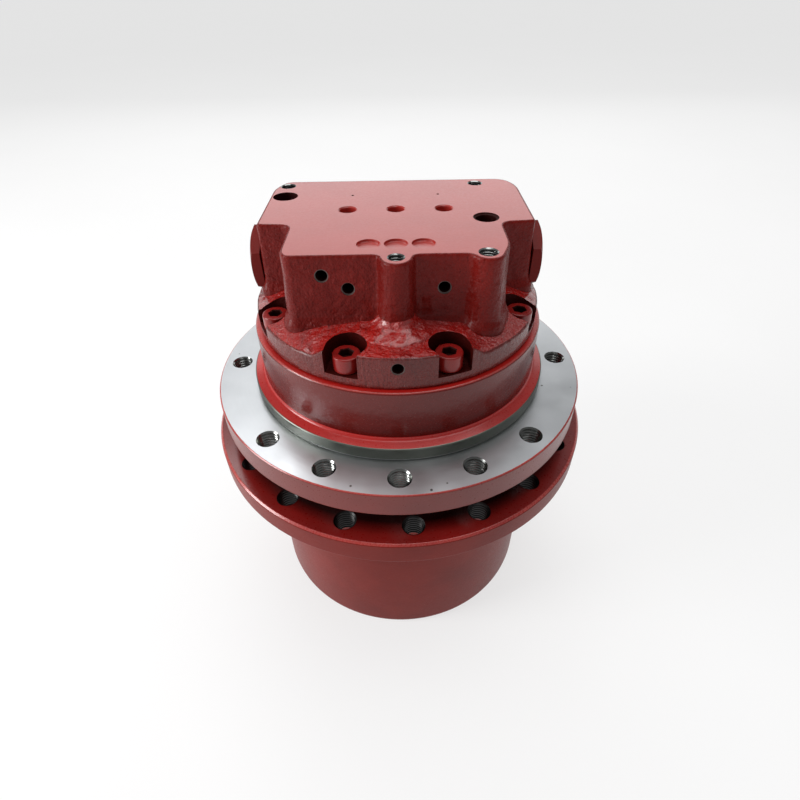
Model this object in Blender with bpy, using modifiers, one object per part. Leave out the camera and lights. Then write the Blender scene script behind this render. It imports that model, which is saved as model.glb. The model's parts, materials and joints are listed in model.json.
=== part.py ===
"""Excavator final drive: a two-stage planetary travel gearbox driven by an axial piston motor.

The drive stands on the rim of its hub with the motor on top. All sizes are in millimetres and angles in
degrees; MM turns them into metres. Z = 0 is the rim of the hub and the spin axis is the Z axis.
"""
import math

import bmesh
import bpy
from mathutils import Matrix

MM = 0.001
WELD = 1e-6

# Clearances
GAP = 0.3                  # between pieces that seat on each other
TIP_GAP = 1.5              # between turning faces that pass each other
CUT = 3.0                  # how far a cutter runs past the face that it opens

# Number of sides of turned pieces
SIDES_CASE = 40
SIDES_RING = 20
SIDES_SHAFT = 12
SIDES_HOLE = 8

# Hub, from the rim upwards
HUB_R = 88.5
HUB_BORE_R = 76.3
HUB_FLANGE_R = 114.4
HUB_FLANGE_Z = 114.0
HUB_FLANGE_T = 14.1
HUB_COLLAR_R = 94.0
HUB_EDGE = 3.0
SEAL_STEP = 1.5
FLANGE_EDGE = 0.7
SPROCKET_BOLT_R = HUB_FLANGE_R - 12.1
SPROCKET_BOLTS = 18
SPROCKET_BOLT_PHASE = 3.7
M12_HOLE_R = 5.6

# Motor case
FLANGE_GAP = 15.9
FRAME_FLANGE_R = 108.0
FRAME_FLANGE_T = 14.5
FRAME_BOLT_R = FRAME_FLANGE_R - 11.0
FRAME_BOLT_ANGLES = (0, 22.5, -22.5, 45, -45, 90, -90, 135, -135, 157.5, -157.5, 180)
SPIGOT_R = 85.7
SPIGOT_H = 7.0
SPIGOT_EDGE = 0.4
LEDGE_H = 2.1
CASE_R = 80.0
CASE_H = 29.0
CASE_BORE_R = 58.0
SWASH_BORE_R = 46.0
CASE_SKIRT_R = 95.5
SEAL_BORE_R = CASE_SKIRT_R - 9.5
SKIRT_GAP = 0.5
SPINDLE_ROOT_R = 62.0
SPINDLE_R = 57.7
SPINDLE_BORE_R = 16.0

# Bearings between hub and spindle
BEARING_W = 18.0
BEARING_WEB_T = 2.4
BEARING_WEB_R = 71.0
ROLLERS = 14
ROLLER_R = 3.8
ROLLER_CIRCLE_R = 67.5
ROLLER_SHOWN = 66.0        # half the arc of a roller that stands out of its cage, in degrees
CAGE_MARGIN = 2.0
NUT_T = 5.7
NUT_R = 66.0

# Gears
MODULE = 2.5
PRESSURE_ANGLE = 25.0
ADDENDUM = 0.9 * MODULE
DEDENDUM = 1.15 * MODULE
BACKLASH = 0.4
RING_TEETH = 54
SUN_1_TEETH = 12
SUN_2_TEETH = 18
PLANET_1_TEETH = (RING_TEETH - SUN_1_TEETH) // 2
PLANET_2_TEETH = (RING_TEETH - SUN_2_TEETH) // 2
PLANETS = 3
FIRST_PLANET_ANGLE = 90.0
PLANET_1_W = 17.0
PLANET_2_W = 21.0
CARRIER_T = 7.0
CARRIER_R = 57.0
PIN_1_R = 8.5
PIN_2_R = 9.0
PIN_2_SEAT = 15.0
SUN_SHAFT_R = 9.0
SUN_2_BORE_R = 11.0
SUN_PROUD = 1.0            # how far a sun gear or pin stands past its planets

# End cover
COVER_T = 7.7
COVER_RIM_W = 16.0
COVER_DISH = 2.0
WIRE_T = 2.4
WIRE_Z = 2.0
WIRE_GROOVE_DEPTH = 3.2
WIRE_PROUD = 2.2
WIRE_SLOT_R = 3.0
COVER_GROOVE_DEPTH = 2.5
COVER_GROOVE_W = 3.0
COVER_RING_HALF_H = 1.2
PLUG_R = 9.0
PLUG_CIRCLE_R = 45.0
KEY_FLOOR_T = 1.5
FIRST_STAGE_GAP = 4.0      # between the cover and the first stage's planets

# Face seal
SEAL_RING_IN_R = 66.0
SEAL_RING_OUT_R = SEAL_BORE_R - 6.0
SEAL_RING_T = 6.4
SEAL_RING_TAPER = 3.0
SEAL_RING_HALF_H = 2.7
SEAL_BELOW_FLANGE = 9.6

# Motor
SHAFT_R = 11.0
SLEEVE_R = 13.0
SLEEVE_L = 37.0
SOCKET_L = 13.0
SOCKET_BELOW_SEAL = 6.0
SHAFT_IN_BLOCK = 2.0
OIL_SEAL_R = 20.0
OIL_SEAL_T = 6.3
OIL_SEAL_STEP = 1.0
SHAFT_BEARING_R = 26.0
SHAFT_BEARING_T = 11.7
SWASH_R = 44.0
SWASH_MID_T = 7.2
SWASH_ANGLE = 8.0
BLOCK_R = 36.0
BLOCK_L = 32.0
PISTONS = 9
PISTON_R = 6.4
PISTON_CIRCLE_R = 24.0
PISTON_IN = 24.0
RETAINER_T = 3.0
RETAINER_RIM = 2.0
RETAINER_GAP = 1.0
KIDNEY_W = 6.0
KIDNEY_HALF = 65.0         # half the angle that a kidney slot takes
VALVE_PLATE_T = 3.7
BRAKE_FLOOR_ABOVE_FLANGE = 1.5
BRAKE_DISC_T = 2.5
BRAKE_GAP = 0.5
BRAKE_DISC_R = 54.0
BRAKE_PLATE_IN_R = 42.0
BRAKE_PISTON_T = 12.0
BRAKE_TRAVEL = 1.2
BRAKE_SPRING_T = 3.0
BRAKE_SPRING_STEP = 3.0
BRAKE_SPRING_MARGIN = 1.0

# Port block
BASE_R = 77.0
BASE_H = 17.1
BASE_EDGE = 1.0
BASE_FOOT_EDGE = 0.6
BASE_CROWN = 2.0
BASE_CROWN_R = 50.0
BASE_SLOPE_R = 62.0
BASE_RIM_DROP = 6.0
FRONT_PAD_ANGLE = 29.0
FRONT_PAD_IN_R = 45.0
BOSS_R = 40.0
BOSS_H = 6.6
BLOCK_TOP_H = 51.6
BLOCK_SKIRT = 9.0
BLOCK_DRAFT = 1.02
EAR_X = 70.0
EAR_FRONT_Y = -8.5
EAR_BACK_Y = 45.0
BACK_Y = 56.5
BACK_CORNER_X = 63.0
NOTCH_X = 53.0
FRONT_Y = -46.0
FRONT_CORNER_X = 50.5
FRONT_BOSS_X = 0.0
FRONT_BOSS_Y = -48.1
CORNER_BOSS_X = 41.5
CORNER_BOSS_Y = -44.2
EDGE_BOSS_R = 7.7
EDGE_BOSS_FILLET = 5.5
CORNER_BOSS_FILLET = 9.5 - EDGE_BOSS_R
NOTCH_FILLET = 2.5

# Screws of the port block, M8
SCREW_CIRCLE_R = BASE_R - 7.8
SCREW_ANGLES = (20.2, 65.9, 117.5, 159.8, -159.8, -117.5, -65.9, -20.2)
SCREW_R = 4.0
SCREW_L = 20.0
HEAD_R = 6.65
HEAD_H = 8.0
HEAD_SOCKET_R = 3.46
HEAD_SOCKET_DEPTH = 4.0
SCREW_SEAT_H = 4.6
POCKET_R = 10.0
POCKET_H = 20.5
POCKET_MOUTH_W = 17.0

# Holes in the top of the port block: x, y, radius, depth
TOP_HOLES = (
    (-62.4, 49.2, 4.5, 14.0),
    (-25.3, 10.3, 4.3, 13.0),
    (0.0, 10.3, 4.3, 13.0),
    (25.3, 10.3, 4.3, 13.0),
    (0.0, -48.3, 4.1, 16.0),
    (41.3, -44.3, 4.7, 16.0),
    (46.2, 49.7, 4.4, 14.0),
    (45.7, -3.3, 6.6, 9.0),
    (-12.8, -33.8, 5.6, 1.5),
    (0.0, -33.8, 5.6, 1.5),
    (12.8, -33.8, 5.6, 1.5),
)
ACCESS_HOLE_R = 6.9
GAUGE_HOLES = ((-34.2, 9.6), (-22.5, 16.2), (22.2, 16.2))     # x and depth below the block's top
GAUGE_R = 2.7
GAUGE_DEPTH = 12.0
BASE_HOLE_R = 2.9
BASE_HOLE_BELOW_EDGE = 5.5
PORT_X = 24.0
PORT_BELOW_TOP = 14.5
PORT_R = 10.0
PORT_DEPTH = 20.0

# Counterbalance valve
SPOOL_Y = 8.0
SPOOL_BELOW_TOP = 24.7
SPOOL_R = 8.2
SPOOL_HALF = 38.0
SPOOL_WAIST_R = 5.5
SPOOL_END_LAND = 11.0
SPOOL_MID_LAND = 12.0      # from the middle of the spool
SPOOL_MID_WAIST = 4.0
SPOOL_TRAVEL = 3.0
CAP_ACROSS_FLATS = 32.0
CAP_HEAD_T = 5.7
CAP_PLUG_R = 11.7
CAP_PLUG_L = 18.3
CAP_EDGE = 1.6
CAP_EDGE_R = 2.4           # how far the turned chamfer of a cap reaches inwards
CAP_BLANK = 0.5
SPOT_FACE_MARGIN = 1.5
CAP_CORNER_R = CAP_ACROSS_FLATS / 2 / math.cos(math.pi / 6)
CAP_SEAT_X = 70.8
SPOT_FACE_R = CAP_CORNER_R + SPOT_FACE_MARGIN
SPRING_R = 6.0
SPRING_WIRE_R = 0.8
SPRING_TURNS = 3

# Levels worked out from the sizes above
HUB_FLANGE_TOP = HUB_FLANGE_Z + HUB_FLANGE_T
FRAME_Z = HUB_FLANGE_TOP + FLANGE_GAP
FRAME_TOP = FRAME_Z + FRAME_FLANGE_T
SPIGOT_TOP = FRAME_TOP + SPIGOT_H
LEDGE_TOP = SPIGOT_TOP + LEDGE_H
CASE_TOP = LEDGE_TOP + CASE_H
SEAL_FACE_Z = FRAME_Z - SEAL_BELOW_FLANGE
SEAL_ROOF_Z = SEAL_FACE_Z + SEAL_RING_T + 2 * GAP
SEAL_FLOOR_Z = SEAL_FACE_Z - SEAL_RING_T - 2 * GAP

WIRE_TOP = WIRE_Z + WIRE_T + 2 * GAP
COVER_Z = WIRE_TOP + GAP
COVER_TOP = COVER_Z + COVER_T
PLANET_1_Z = COVER_TOP + FIRST_STAGE_GAP
PLANET_1_TOP = PLANET_1_Z + PLANET_1_W
CARRIER_Z = PLANET_1_TOP + TIP_GAP
CARRIER_TOP = CARRIER_Z + CARRIER_T
PIN_2_Z = CARRIER_TOP + TIP_GAP
PLANET_2_Z = PIN_2_Z + TIP_GAP
PLANET_2_TOP = PLANET_2_Z + PLANET_2_W
SPINDLE_Z = PLANET_2_TOP + 2 * TIP_GAP
NUT_TOP = SPINDLE_Z + NUT_T
BEARING_1_Z = NUT_TOP + GAP
BEARING_1_TOP = BEARING_1_Z + BEARING_W
WEB_Z = BEARING_1_TOP + GAP
WEB_TOP = WEB_Z + BEARING_WEB_T
BEARING_2_Z = WEB_TOP + GAP
BEARING_2_TOP = BEARING_2_Z + BEARING_W
SHOULDER_Z = BEARING_2_TOP + GAP
OIL_SEAL_Z = SHOULDER_Z + OIL_SEAL_STEP
OIL_SEAL_TOP = OIL_SEAL_Z + OIL_SEAL_T
BRAKE_FLOOR_Z = FRAME_TOP + BRAKE_FLOOR_ABOVE_FLANGE
SWASH_FLOOR_Z = OIL_SEAL_TOP + SHAFT_BEARING_T
SWASH_RISE = math.tan(math.radians(SWASH_ANGLE))

BLOCK_BASE_Z = CASE_TOP + GAP
SCREW_SEAT_Z = BLOCK_BASE_Z + SCREW_SEAT_H
BASE_TOP = BLOCK_BASE_Z + BASE_H
BLOCK_TOP = BLOCK_BASE_Z + BLOCK_TOP_H
BOSS_Z = BLOCK_BASE_Z - BOSS_H
RIM_TOP = BASE_TOP - BASE_RIM_DROP
VALVE_PLATE_Z = BOSS_Z - GAP - VALVE_PLATE_T
ROTOR_TOP = VALVE_PLATE_Z - GAP
ROTOR_Z = ROTOR_TOP - BLOCK_L
RETAINER_Z = ROTOR_Z - RETAINER_GAP - RETAINER_T
SPOOL_Z = BLOCK_TOP - SPOOL_BELOW_TOP
SOCKET_TOP = OIL_SEAL_Z - SOCKET_BELOW_SEAL
SLEEVE_Z = SOCKET_TOP - SOCKET_L
SHAFT_TOP = BLOCK_BASE_Z + SHAFT_IN_BLOCK

# Finishes: linear colour, roughness, metallic
RED_PAINT = ((0.32, 0.03, 0.02), 0.4, 0.0)
GROUND_STEEL = ((0.55, 0.57, 0.58), 0.3, 1.0)
GEAR_STEEL = ((0.4, 0.39, 0.36), 0.35, 1.0)
DARK_STEEL = ((0.09, 0.09, 0.1), 0.45, 1.0)
BRASS = ((0.66, 0.46, 0.2), 0.35, 1.0)
FRICTION = ((0.1, 0.075, 0.05), 0.8, 0.0)
SEAL_RUBBER = ((0.02, 0.02, 0.022), 0.6, 0.0)

SHARP = math.radians(30)


def clear_scene():
    for obj in list(bpy.data.objects):
        bpy.data.objects.remove(obj, do_unlink=True)


def new_collection(name):
    collection = bpy.data.collections.new(name)
    bpy.context.scene.collection.children.link(collection)
    return collection


clear_scene()
PARTS = new_collection("excavator_final_drive")
CUTTERS = new_collection("cutters")


def finish(obj, look):
    """Give a piece its own material."""
    colour, roughness, metallic = look
    material = bpy.data.materials.new(obj.name)
    material.use_nodes = True
    shader = material.node_tree.nodes["Principled BSDF"]
    shader.inputs["Base Color"].default_value = (*colour, 1.0)
    shader.inputs["Roughness"].default_value = roughness
    shader.inputs["Metallic"].default_value = metallic
    obj.data.materials.clear()
    obj.data.materials.append(material)


def make_object(name, mesh, look=None):
    """Put a mesh in the scene: as a part when it has a look, and else as a cutter."""
    obj = bpy.data.objects.new(name, mesh)
    if look:
        PARTS.objects.link(obj)
        mesh.shade_smooth()
        mesh.set_sharp_from_angle(angle=SHARP)
        finish(obj, look)
    else:
        CUTTERS.objects.link(obj)
        obj.hide_render = True
        obj.display_type = "WIRE"
    return obj


def boolean(obj, tool, operation="DIFFERENCE"):
    modifier = obj.modifiers.new(f"{operation.lower()}_{tool.name}", "BOOLEAN")
    modifier.operation = operation
    modifier.solver = "EXACT"
    modifier.object = tool


def turned(name, profile, sides=SIDES_RING, look=None):
    """A profile of (radius, z) points, outer side downwards, turned about Z."""
    mesh = bpy.data.meshes.new(name)
    points = [(radius * MM, 0.0, z * MM) for radius, z in profile]
    edges = [(i, i + 1) for i in range(len(points) - 1)]
    if profile[0][0] > 0:
        edges.append((len(points) - 1, 0))
    mesh.from_pydata(points, edges, [])
    obj = make_object(name, mesh, look)
    screw = obj.modifiers.new("turn", "SCREW")
    screw.axis = "Z"
    screw.angle = math.tau
    screw.steps = sides
    screw.render_steps = sides
    screw.use_merge_vertices = True
    screw.merge_threshold = WELD
    return obj


def ring(name, inner, outer, z, thickness, sides=SIDES_RING, look=None):
    """A plain ring or, with no inner radius, a disc."""
    top = z + thickness
    if inner > 0:
        profile = ((outer, top), (outer, z), (inner, z), (inner, top))
    else:
        profile = ((0, top), (outer, top), (outer, z), (0, z))
    return turned(name, profile, sides, look)


def bore_over(radius, sides=SIDES_RING):
    """Corner radius of a bore whose flats clear a round piece of this radius."""
    return (radius + GAP) / math.cos(math.pi / sides)


def cylinders(name, items, sides=SIDES_HOLE):
    """A cutter of separate cylinders: (centre, radius, length, axis matrix)."""
    mesh = bpy.data.meshes.new(name)
    bm = bmesh.new()
    for centre, radius, length, turn in items:
        matrix = Matrix.Translation([value * MM for value in centre]) @ turn
        bmesh.ops.create_cone(
            bm, cap_ends=True, segments=sides, radius1=radius * MM, radius2=radius * MM,
            depth=length * MM, matrix=matrix)
    bm.to_mesh(mesh)
    bm.free()
    return make_object(name, mesh)


UPRIGHT = Matrix.Identity(4)
ALONG_X = Matrix.Rotation(math.radians(90), 4, "Y")
ALONG_Y = Matrix.Rotation(math.radians(90), 4, "X")


def upright_hole(x, y, radius, low, high):
    return ((x, y, (low + high) / 2), radius, high - low, UPRIGHT)


def from_front(angle, radius):
    """The point at an angle from the front, positive to the right."""
    turn = math.radians(angle)
    return radius * math.sin(turn), -radius * math.cos(turn)


def planet_angles():
    return [math.radians(FIRST_PLANET_ANGLE + 360 * i / PLANETS) for i in range(PLANETS)]


def circle(radius, count, centre=(0.0, 0.0)):
    return [
        (centre[0] + radius * math.cos(math.tau * i / count),
         centre[1] + radius * math.sin(math.tau * i / count))
        for i in range(count)]


def arc(centre, radius, start, end, count):
    """Points along an arc, angles in degrees."""
    points = []
    for i in range(count + 1):
        turn = math.radians(start + (end - start) * i / count)
        points.append((centre[0] + radius * math.cos(turn), centre[1] + radius * math.sin(turn)))
    return points


def extruded(name, outlines, z, thickness, look=None):
    """Flat outlines, the first one outside and the rest holes, made solid between z and z + thickness."""
    curve = bpy.data.curves.new(name, "CURVE")
    curve.dimensions = "2D"
    curve.fill_mode = "BOTH"
    curve.extrude = thickness / 2 * MM
    for outline in outlines:
        spline = curve.splines.new("POLY")
        spline.points.add(len(outline) - 1)
        for point, (x, y) in zip(spline.points, outline):
            point.co = (x * MM, y * MM, 0.0, 1.0)
        spline.use_cyclic_u = True
    flat = bpy.data.objects.new(name + "_outline", curve)
    flat.location.z = (z + thickness / 2) * MM
    return solid_from_curve(name, flat, look)


def solid_from_curve(name, source, look):
    """Turn a curve object into a welded mesh object of the same place."""
    bpy.context.scene.collection.objects.link(source)
    bpy.context.view_layer.update()
    evaluated = source.evaluated_get(bpy.context.evaluated_depsgraph_get())
    mesh = bpy.data.meshes.new_from_object(evaluated)
    mesh.name = name
    bm = bmesh.new()
    bm.from_mesh(mesh)
    bmesh.ops.remove_doubles(bm, verts=bm.verts, dist=WELD)
    bmesh.ops.recalc_face_normals(bm, faces=bm.faces)
    bm.to_mesh(mesh)
    bm.free()
    obj = make_object(name, mesh, look)
    obj.matrix_world = source.matrix_world.copy()
    curve = source.data
    bpy.data.objects.remove(source, do_unlink=True)
    bpy.data.curves.remove(curve)
    return obj


def involute(angle):
    return math.tan(angle) - angle


def half_tooth(teeth, radius, width):
    """Half the angle that a tooth of this pitch width takes at a radius."""
    pitch_r = MODULE * teeth / 2
    base_r = pitch_r * math.cos(math.radians(PRESSURE_ANGLE))
    at_radius = math.acos(base_r / max(radius, base_r))
    return width / (2 * pitch_r) + involute(math.radians(PRESSURE_ANGLE)) - involute(at_radius)


def toothed(teeth, phase, low_r, high_r, width):
    """A toothed outline with straight flanks through the involute at the root and at the tip."""
    low_half = half_tooth(teeth, low_r, width)
    high_half = half_tooth(teeth, high_r, width)
    points = []
    for i in range(teeth):
        middle = phase + math.tau * i / teeth
        corners = ((low_r, -low_half), (high_r, -high_half), (high_r, high_half), (low_r, low_half))
        for radius, offset in corners:
            points.append((radius * math.cos(middle + offset), radius * math.sin(middle + offset)))
    return points


def gear_outline(teeth, phase):
    pitch_r = MODULE * teeth / 2
    width = math.pi * MODULE / 2 - BACKLASH / 2
    return toothed(teeth, phase, pitch_r - DEDENDUM, pitch_r + ADDENDUM, width)


def ring_outline():
    """The toothed bore of the ring gear, with a space at angle 0."""
    pitch_r = MODULE * RING_TEETH / 2
    width = math.pi * MODULE / 2 + BACKLASH / 2
    return toothed(RING_TEETH, 0.0, pitch_r - ADDENDUM, pitch_r + DEDENDUM, width)


def planet_phase(angle, teeth):
    """The turn that puts a planet in mesh with the ring gear."""
    return angle * (1 - RING_TEETH / teeth)


def sun_phase(teeth, planet_teeth):
    """The turn that puts a sun gear in mesh with its planets."""
    first = math.radians(FIRST_PLANET_ANGLE)
    spaces = (RING_TEETH + teeth) * first / math.tau - 0.5 + planet_teeth / 2
    return spaces * math.tau / teeth


PLANET_1_CIRCLE_R = MODULE * (SUN_1_TEETH + PLANET_1_TEETH) / 2
PLANET_2_CIRCLE_R = MODULE * (SUN_2_TEETH + PLANET_2_TEETH) / 2


def hub_housing():
    """The painted hub with the sprocket flange, bored right through for the gears and bearings."""
    flange = HUB_FLANGE_R
    profile = (
        (HUB_COLLAR_R, SEAL_FACE_Z),
        (HUB_COLLAR_R, HUB_FLANGE_TOP),
        (flange - FLANGE_EDGE, HUB_FLANGE_TOP),
        (flange, HUB_FLANGE_TOP - FLANGE_EDGE),
        (flange, HUB_FLANGE_Z + FLANGE_EDGE),
        (flange - FLANGE_EDGE, HUB_FLANGE_Z),
        (HUB_R, HUB_FLANGE_Z),
        (HUB_R, HUB_EDGE),
        (HUB_R - 0.3 * HUB_EDGE, 0.3 * HUB_EDGE),
        (HUB_R - HUB_EDGE, 0),
        (HUB_BORE_R, 0),
        (HUB_BORE_R, WIRE_Z),
        (HUB_BORE_R + WIRE_GROOVE_DEPTH, WIRE_Z),
        (HUB_BORE_R + WIRE_GROOVE_DEPTH, WIRE_TOP),
        (HUB_BORE_R, WIRE_TOP),
        (HUB_BORE_R, WEB_Z),
        (BEARING_WEB_R, WEB_Z),
        (BEARING_WEB_R, WEB_TOP),
        (HUB_BORE_R, WEB_TOP),
        (HUB_BORE_R, SHOULDER_Z + SEAL_STEP),
        (SEAL_BORE_R, SEAL_FLOOR_Z),
        (SEAL_BORE_R, SEAL_FACE_Z),
    )
    hub = turned("hub_housing", profile, SIDES_CASE, RED_PAINT)
    holes = []
    for i in range(SPROCKET_BOLTS):
        x, y = from_front(SPROCKET_BOLT_PHASE + 360 * i / SPROCKET_BOLTS, SPROCKET_BOLT_R)
        holes.append(upright_hole(x, y, M12_HOLE_R, HUB_FLANGE_Z - CUT, HUB_FLANGE_TOP + CUT))
    boolean(hub, cylinders("sprocket_bolt_holes", holes))


def motor_case():
    """Spindle, frame flange, spigot and motor housing in one casting, open at the top."""
    flange = FRAME_FLANGE_R
    skirt_z = SEAL_FACE_Z + SKIRT_GAP
    profile = (
        (CASE_R - BASE_EDGE, CASE_TOP),
        (CASE_R, CASE_TOP - BASE_EDGE),
        (CASE_R, LEDGE_TOP),
        (SPIGOT_R - SPIGOT_EDGE, SPIGOT_TOP + SPIGOT_EDGE),
        (SPIGOT_R, SPIGOT_TOP),
        (SPIGOT_R, FRAME_TOP),
        (flange - FLANGE_EDGE, FRAME_TOP),
        (flange, FRAME_TOP - FLANGE_EDGE),
        (flange, FRAME_Z + FLANGE_EDGE),
        (flange - FLANGE_EDGE, FRAME_Z),
        (CASE_SKIRT_R, FRAME_Z),
        (CASE_SKIRT_R, skirt_z),
        (SEAL_BORE_R, skirt_z),
        (SEAL_BORE_R, SEAL_ROOF_Z),
        (SPINDLE_ROOT_R, SEAL_ROOF_Z),
        (SPINDLE_ROOT_R, SHOULDER_Z),
        (SPINDLE_R, SHOULDER_Z),
        (SPINDLE_R, SPINDLE_Z),
        (SPINDLE_BORE_R, SPINDLE_Z),
        (SPINDLE_BORE_R, OIL_SEAL_Z),
        (OIL_SEAL_R, OIL_SEAL_Z),
        (OIL_SEAL_R, OIL_SEAL_TOP),
        (SHAFT_BEARING_R, OIL_SEAL_TOP),
        (SHAFT_BEARING_R, SWASH_FLOOR_Z),
        (SWASH_BORE_R, SWASH_FLOOR_Z),
        (SWASH_BORE_R, BRAKE_FLOOR_Z),
        (CASE_BORE_R, BRAKE_FLOOR_Z),
        (CASE_BORE_R, CASE_TOP),
    )
    case = turned("motor_case", profile, SIDES_CASE, RED_PAINT)
    holes = []
    for angle in FRAME_BOLT_ANGLES:
        x, y = from_front(angle, FRAME_BOLT_R)
        holes.append(upright_hole(x, y, M12_HOLE_R, FRAME_Z - CUT, FRAME_TOP + CUT))
    boolean(case, cylinders("frame_bolt_holes", holes))
    holes = []
    for angle in SCREW_ANGLES:
        x, y = from_front(angle, SCREW_CIRCLE_R)
        bottom = SCREW_SEAT_Z - SCREW_L - 1.5
        holes.append(upright_hole(x, y, SCREW_R + 2 * GAP, bottom, CASE_TOP + CUT))
    boolean(case, cylinders("case_screw_holes", holes))
    holes = []
    for angle in planet_angles():
        x = PLANET_2_CIRCLE_R * math.cos(angle)
        y = PLANET_2_CIRCLE_R * math.sin(angle)
        top = SPINDLE_Z + PIN_2_SEAT + GAP
        holes.append(upright_hole(x, y, bore_over(PIN_2_R, SIDES_SHAFT), SPINDLE_Z - CUT, top))
    boolean(case, cylinders("spindle_pin_holes", holes, SIDES_SHAFT))


def end_cover():
    """The cover that closes the hub's open end, with its O-ring groove, two plugs and the wire ring."""
    outer = HUB_BORE_R - GAP
    groove_z = COVER_Z + (COVER_T - COVER_GROOVE_W) / 2
    groove_top = groove_z + COVER_GROOVE_W
    groove_r = outer - COVER_GROOVE_DEPTH
    dish_r = outer - COVER_RIM_W
    profile = (
        (0, COVER_TOP),
        (outer, COVER_TOP),
        (outer, groove_top),
        (groove_r, groove_top),
        (groove_r, groove_z),
        (outer, groove_z),
        (outer, COVER_Z),
        (dish_r, COVER_Z),
        (dish_r - COVER_DISH, COVER_Z + COVER_DISH),
        (0, COVER_Z + COVER_DISH),
    )
    cover = turned("end_cover", profile, SIDES_RING, RED_PAINT)
    places = {"fill_plug": from_front(0, PLUG_CIRCLE_R), "drain_plug": from_front(120, PLUG_CIRCLE_R)}
    holes = [
        upright_hole(x, y, bore_over(PLUG_R, SIDES_SHAFT), COVER_Z - CUT, COVER_TOP + CUT)
        for x, y in places.values()]
    boolean(cover, cylinders("cover_plug_holes", holes, SIDES_SHAFT))
    for name, (x, y) in places.items():
        plug = ring(name, 0, PLUG_R, COVER_Z + COVER_DISH, COVER_T - COVER_DISH, SIDES_SHAFT, GROUND_STEEL)
        plug.location = (x * MM, y * MM, 0)
        key = upright_hole(x, y, PLUG_R / 2, COVER_Z, COVER_TOP - KEY_FLOOR_T)
        boolean(plug, cylinders(name + "_key", [key], 6))
    middle = (groove_z + groove_top) / 2
    o_ring("cover_oring", groove_r + GAP, HUB_BORE_R - GAP, middle, COVER_RING_HALF_H)
    wire = ring(
        "cover_wire_ring", HUB_BORE_R - WIRE_PROUD, HUB_BORE_R + WIRE_GROOVE_DEPTH - 2 * GAP,
        WIRE_Z + GAP, WIRE_T, SIDES_RING, DARK_STEEL)
    slot = ((HUB_BORE_R, 0, WIRE_Z + WIRE_T / 2), WIRE_SLOT_R, 3 * CUT, UPRIGHT)
    boolean(wire, cylinders("wire_ring_slot", [slot], 4))


def o_ring(name, inner, outer, z, half_height):
    middle = (inner + outer) / 2
    profile = ((outer, z), (middle, z - half_height), (inner, z), (middle, z + half_height))
    return turned(name, profile, SIDES_RING, SEAL_RUBBER)


def face_seal():
    """Two metal seal rings that run face to face, each held by an O-ring in its bore."""
    rest_z = {"lower": SEAL_FACE_Z - GAP / 2 - SEAL_RING_T, "upper": SEAL_FACE_Z + GAP / 2}
    for side, z in rest_z.items():
        top = z + SEAL_RING_T
        inner = SEAL_RING_IN_R
        outer = SEAL_RING_OUT_R
        back = outer - SEAL_RING_TAPER
        if side == "lower":
            profile = ((outer, top), (back, z), (inner, z), (inner, top))
        else:
            profile = ((back, top), (outer, z), (inner, z), (inner, top))
        turned("seal_ring_" + side, profile, SIDES_RING, GROUND_STEEL)
        o_ring("seal_oring_" + side, outer + GAP, SEAL_BORE_R - GAP, z + SEAL_RING_T / 2, SEAL_RING_HALF_H)


def roller_cage_outline():
    """Rollers standing half out of their cage on both sides."""
    outside = []
    inside = []
    for i in range(ROLLERS):
        turn = 360 * i / ROLLERS
        x = ROLLER_CIRCLE_R * math.cos(math.radians(turn))
        y = ROLLER_CIRCLE_R * math.sin(math.radians(turn))
        outside += arc((x, y), ROLLER_R, turn - ROLLER_SHOWN, turn + ROLLER_SHOWN, 3)
        back = turn + 180
        inside += arc((x, y), ROLLER_R, back + ROLLER_SHOWN, back - ROLLER_SHOWN, 3)
    return outside, inside


def hub_bearings():
    """Two roller bearings, their outer rings in the hub and their inner rings on the spindle."""
    outer_race = bore_over(ROLLER_CIRCLE_R + ROLLER_R)
    inner_race = ROLLER_CIRCLE_R - ROLLER_R - GAP
    for number, z in ((1, BEARING_1_Z), (2, BEARING_2_Z)):
        outer_name = f"bearing_{number}_outer_ring"
        inner_name = f"bearing_{number}_inner_ring"
        ring(outer_name, outer_race, HUB_BORE_R - GAP, z, BEARING_W, SIDES_RING, GROUND_STEEL)
        ring(inner_name, bore_over(SPINDLE_R), inner_race, z, BEARING_W, SIDES_RING, GROUND_STEEL)
        cage_w = BEARING_W - 2 * CAGE_MARGIN
        extruded(f"bearing_{number}_rollers", roller_cage_outline(), z + CAGE_MARGIN, cage_w, BRASS)
    ring("spindle_nut", bore_over(SPINDLE_R), NUT_R, SPINDLE_Z, NUT_T, SIDES_RING, DARK_STEEL)


def planet_gears():
    """Both stages' planets, each with its origin on its own pin."""
    stages = (
        ("planet_gear_1", PLANET_1_TEETH, PLANET_1_CIRCLE_R, PIN_1_R, PLANET_1_Z, PLANET_1_W),
        ("planet_gear_2", PLANET_2_TEETH, PLANET_2_CIRCLE_R, PIN_2_R, PLANET_2_Z, PLANET_2_W),
    )
    for name, teeth, circle_r, pin_r, z, width in stages:
        for letter, angle in zip("abc", planet_angles()):
            bore = circle(bore_over(pin_r, SIDES_SHAFT), SIDES_SHAFT)
            outlines = (gear_outline(teeth, planet_phase(angle, teeth)), bore)
            planet = extruded(name + letter, outlines, z, width, GEAR_STEEL)
            planet.location.x = circle_r * math.cos(angle) * MM
            planet.location.y = circle_r * math.sin(angle) * MM


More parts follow.
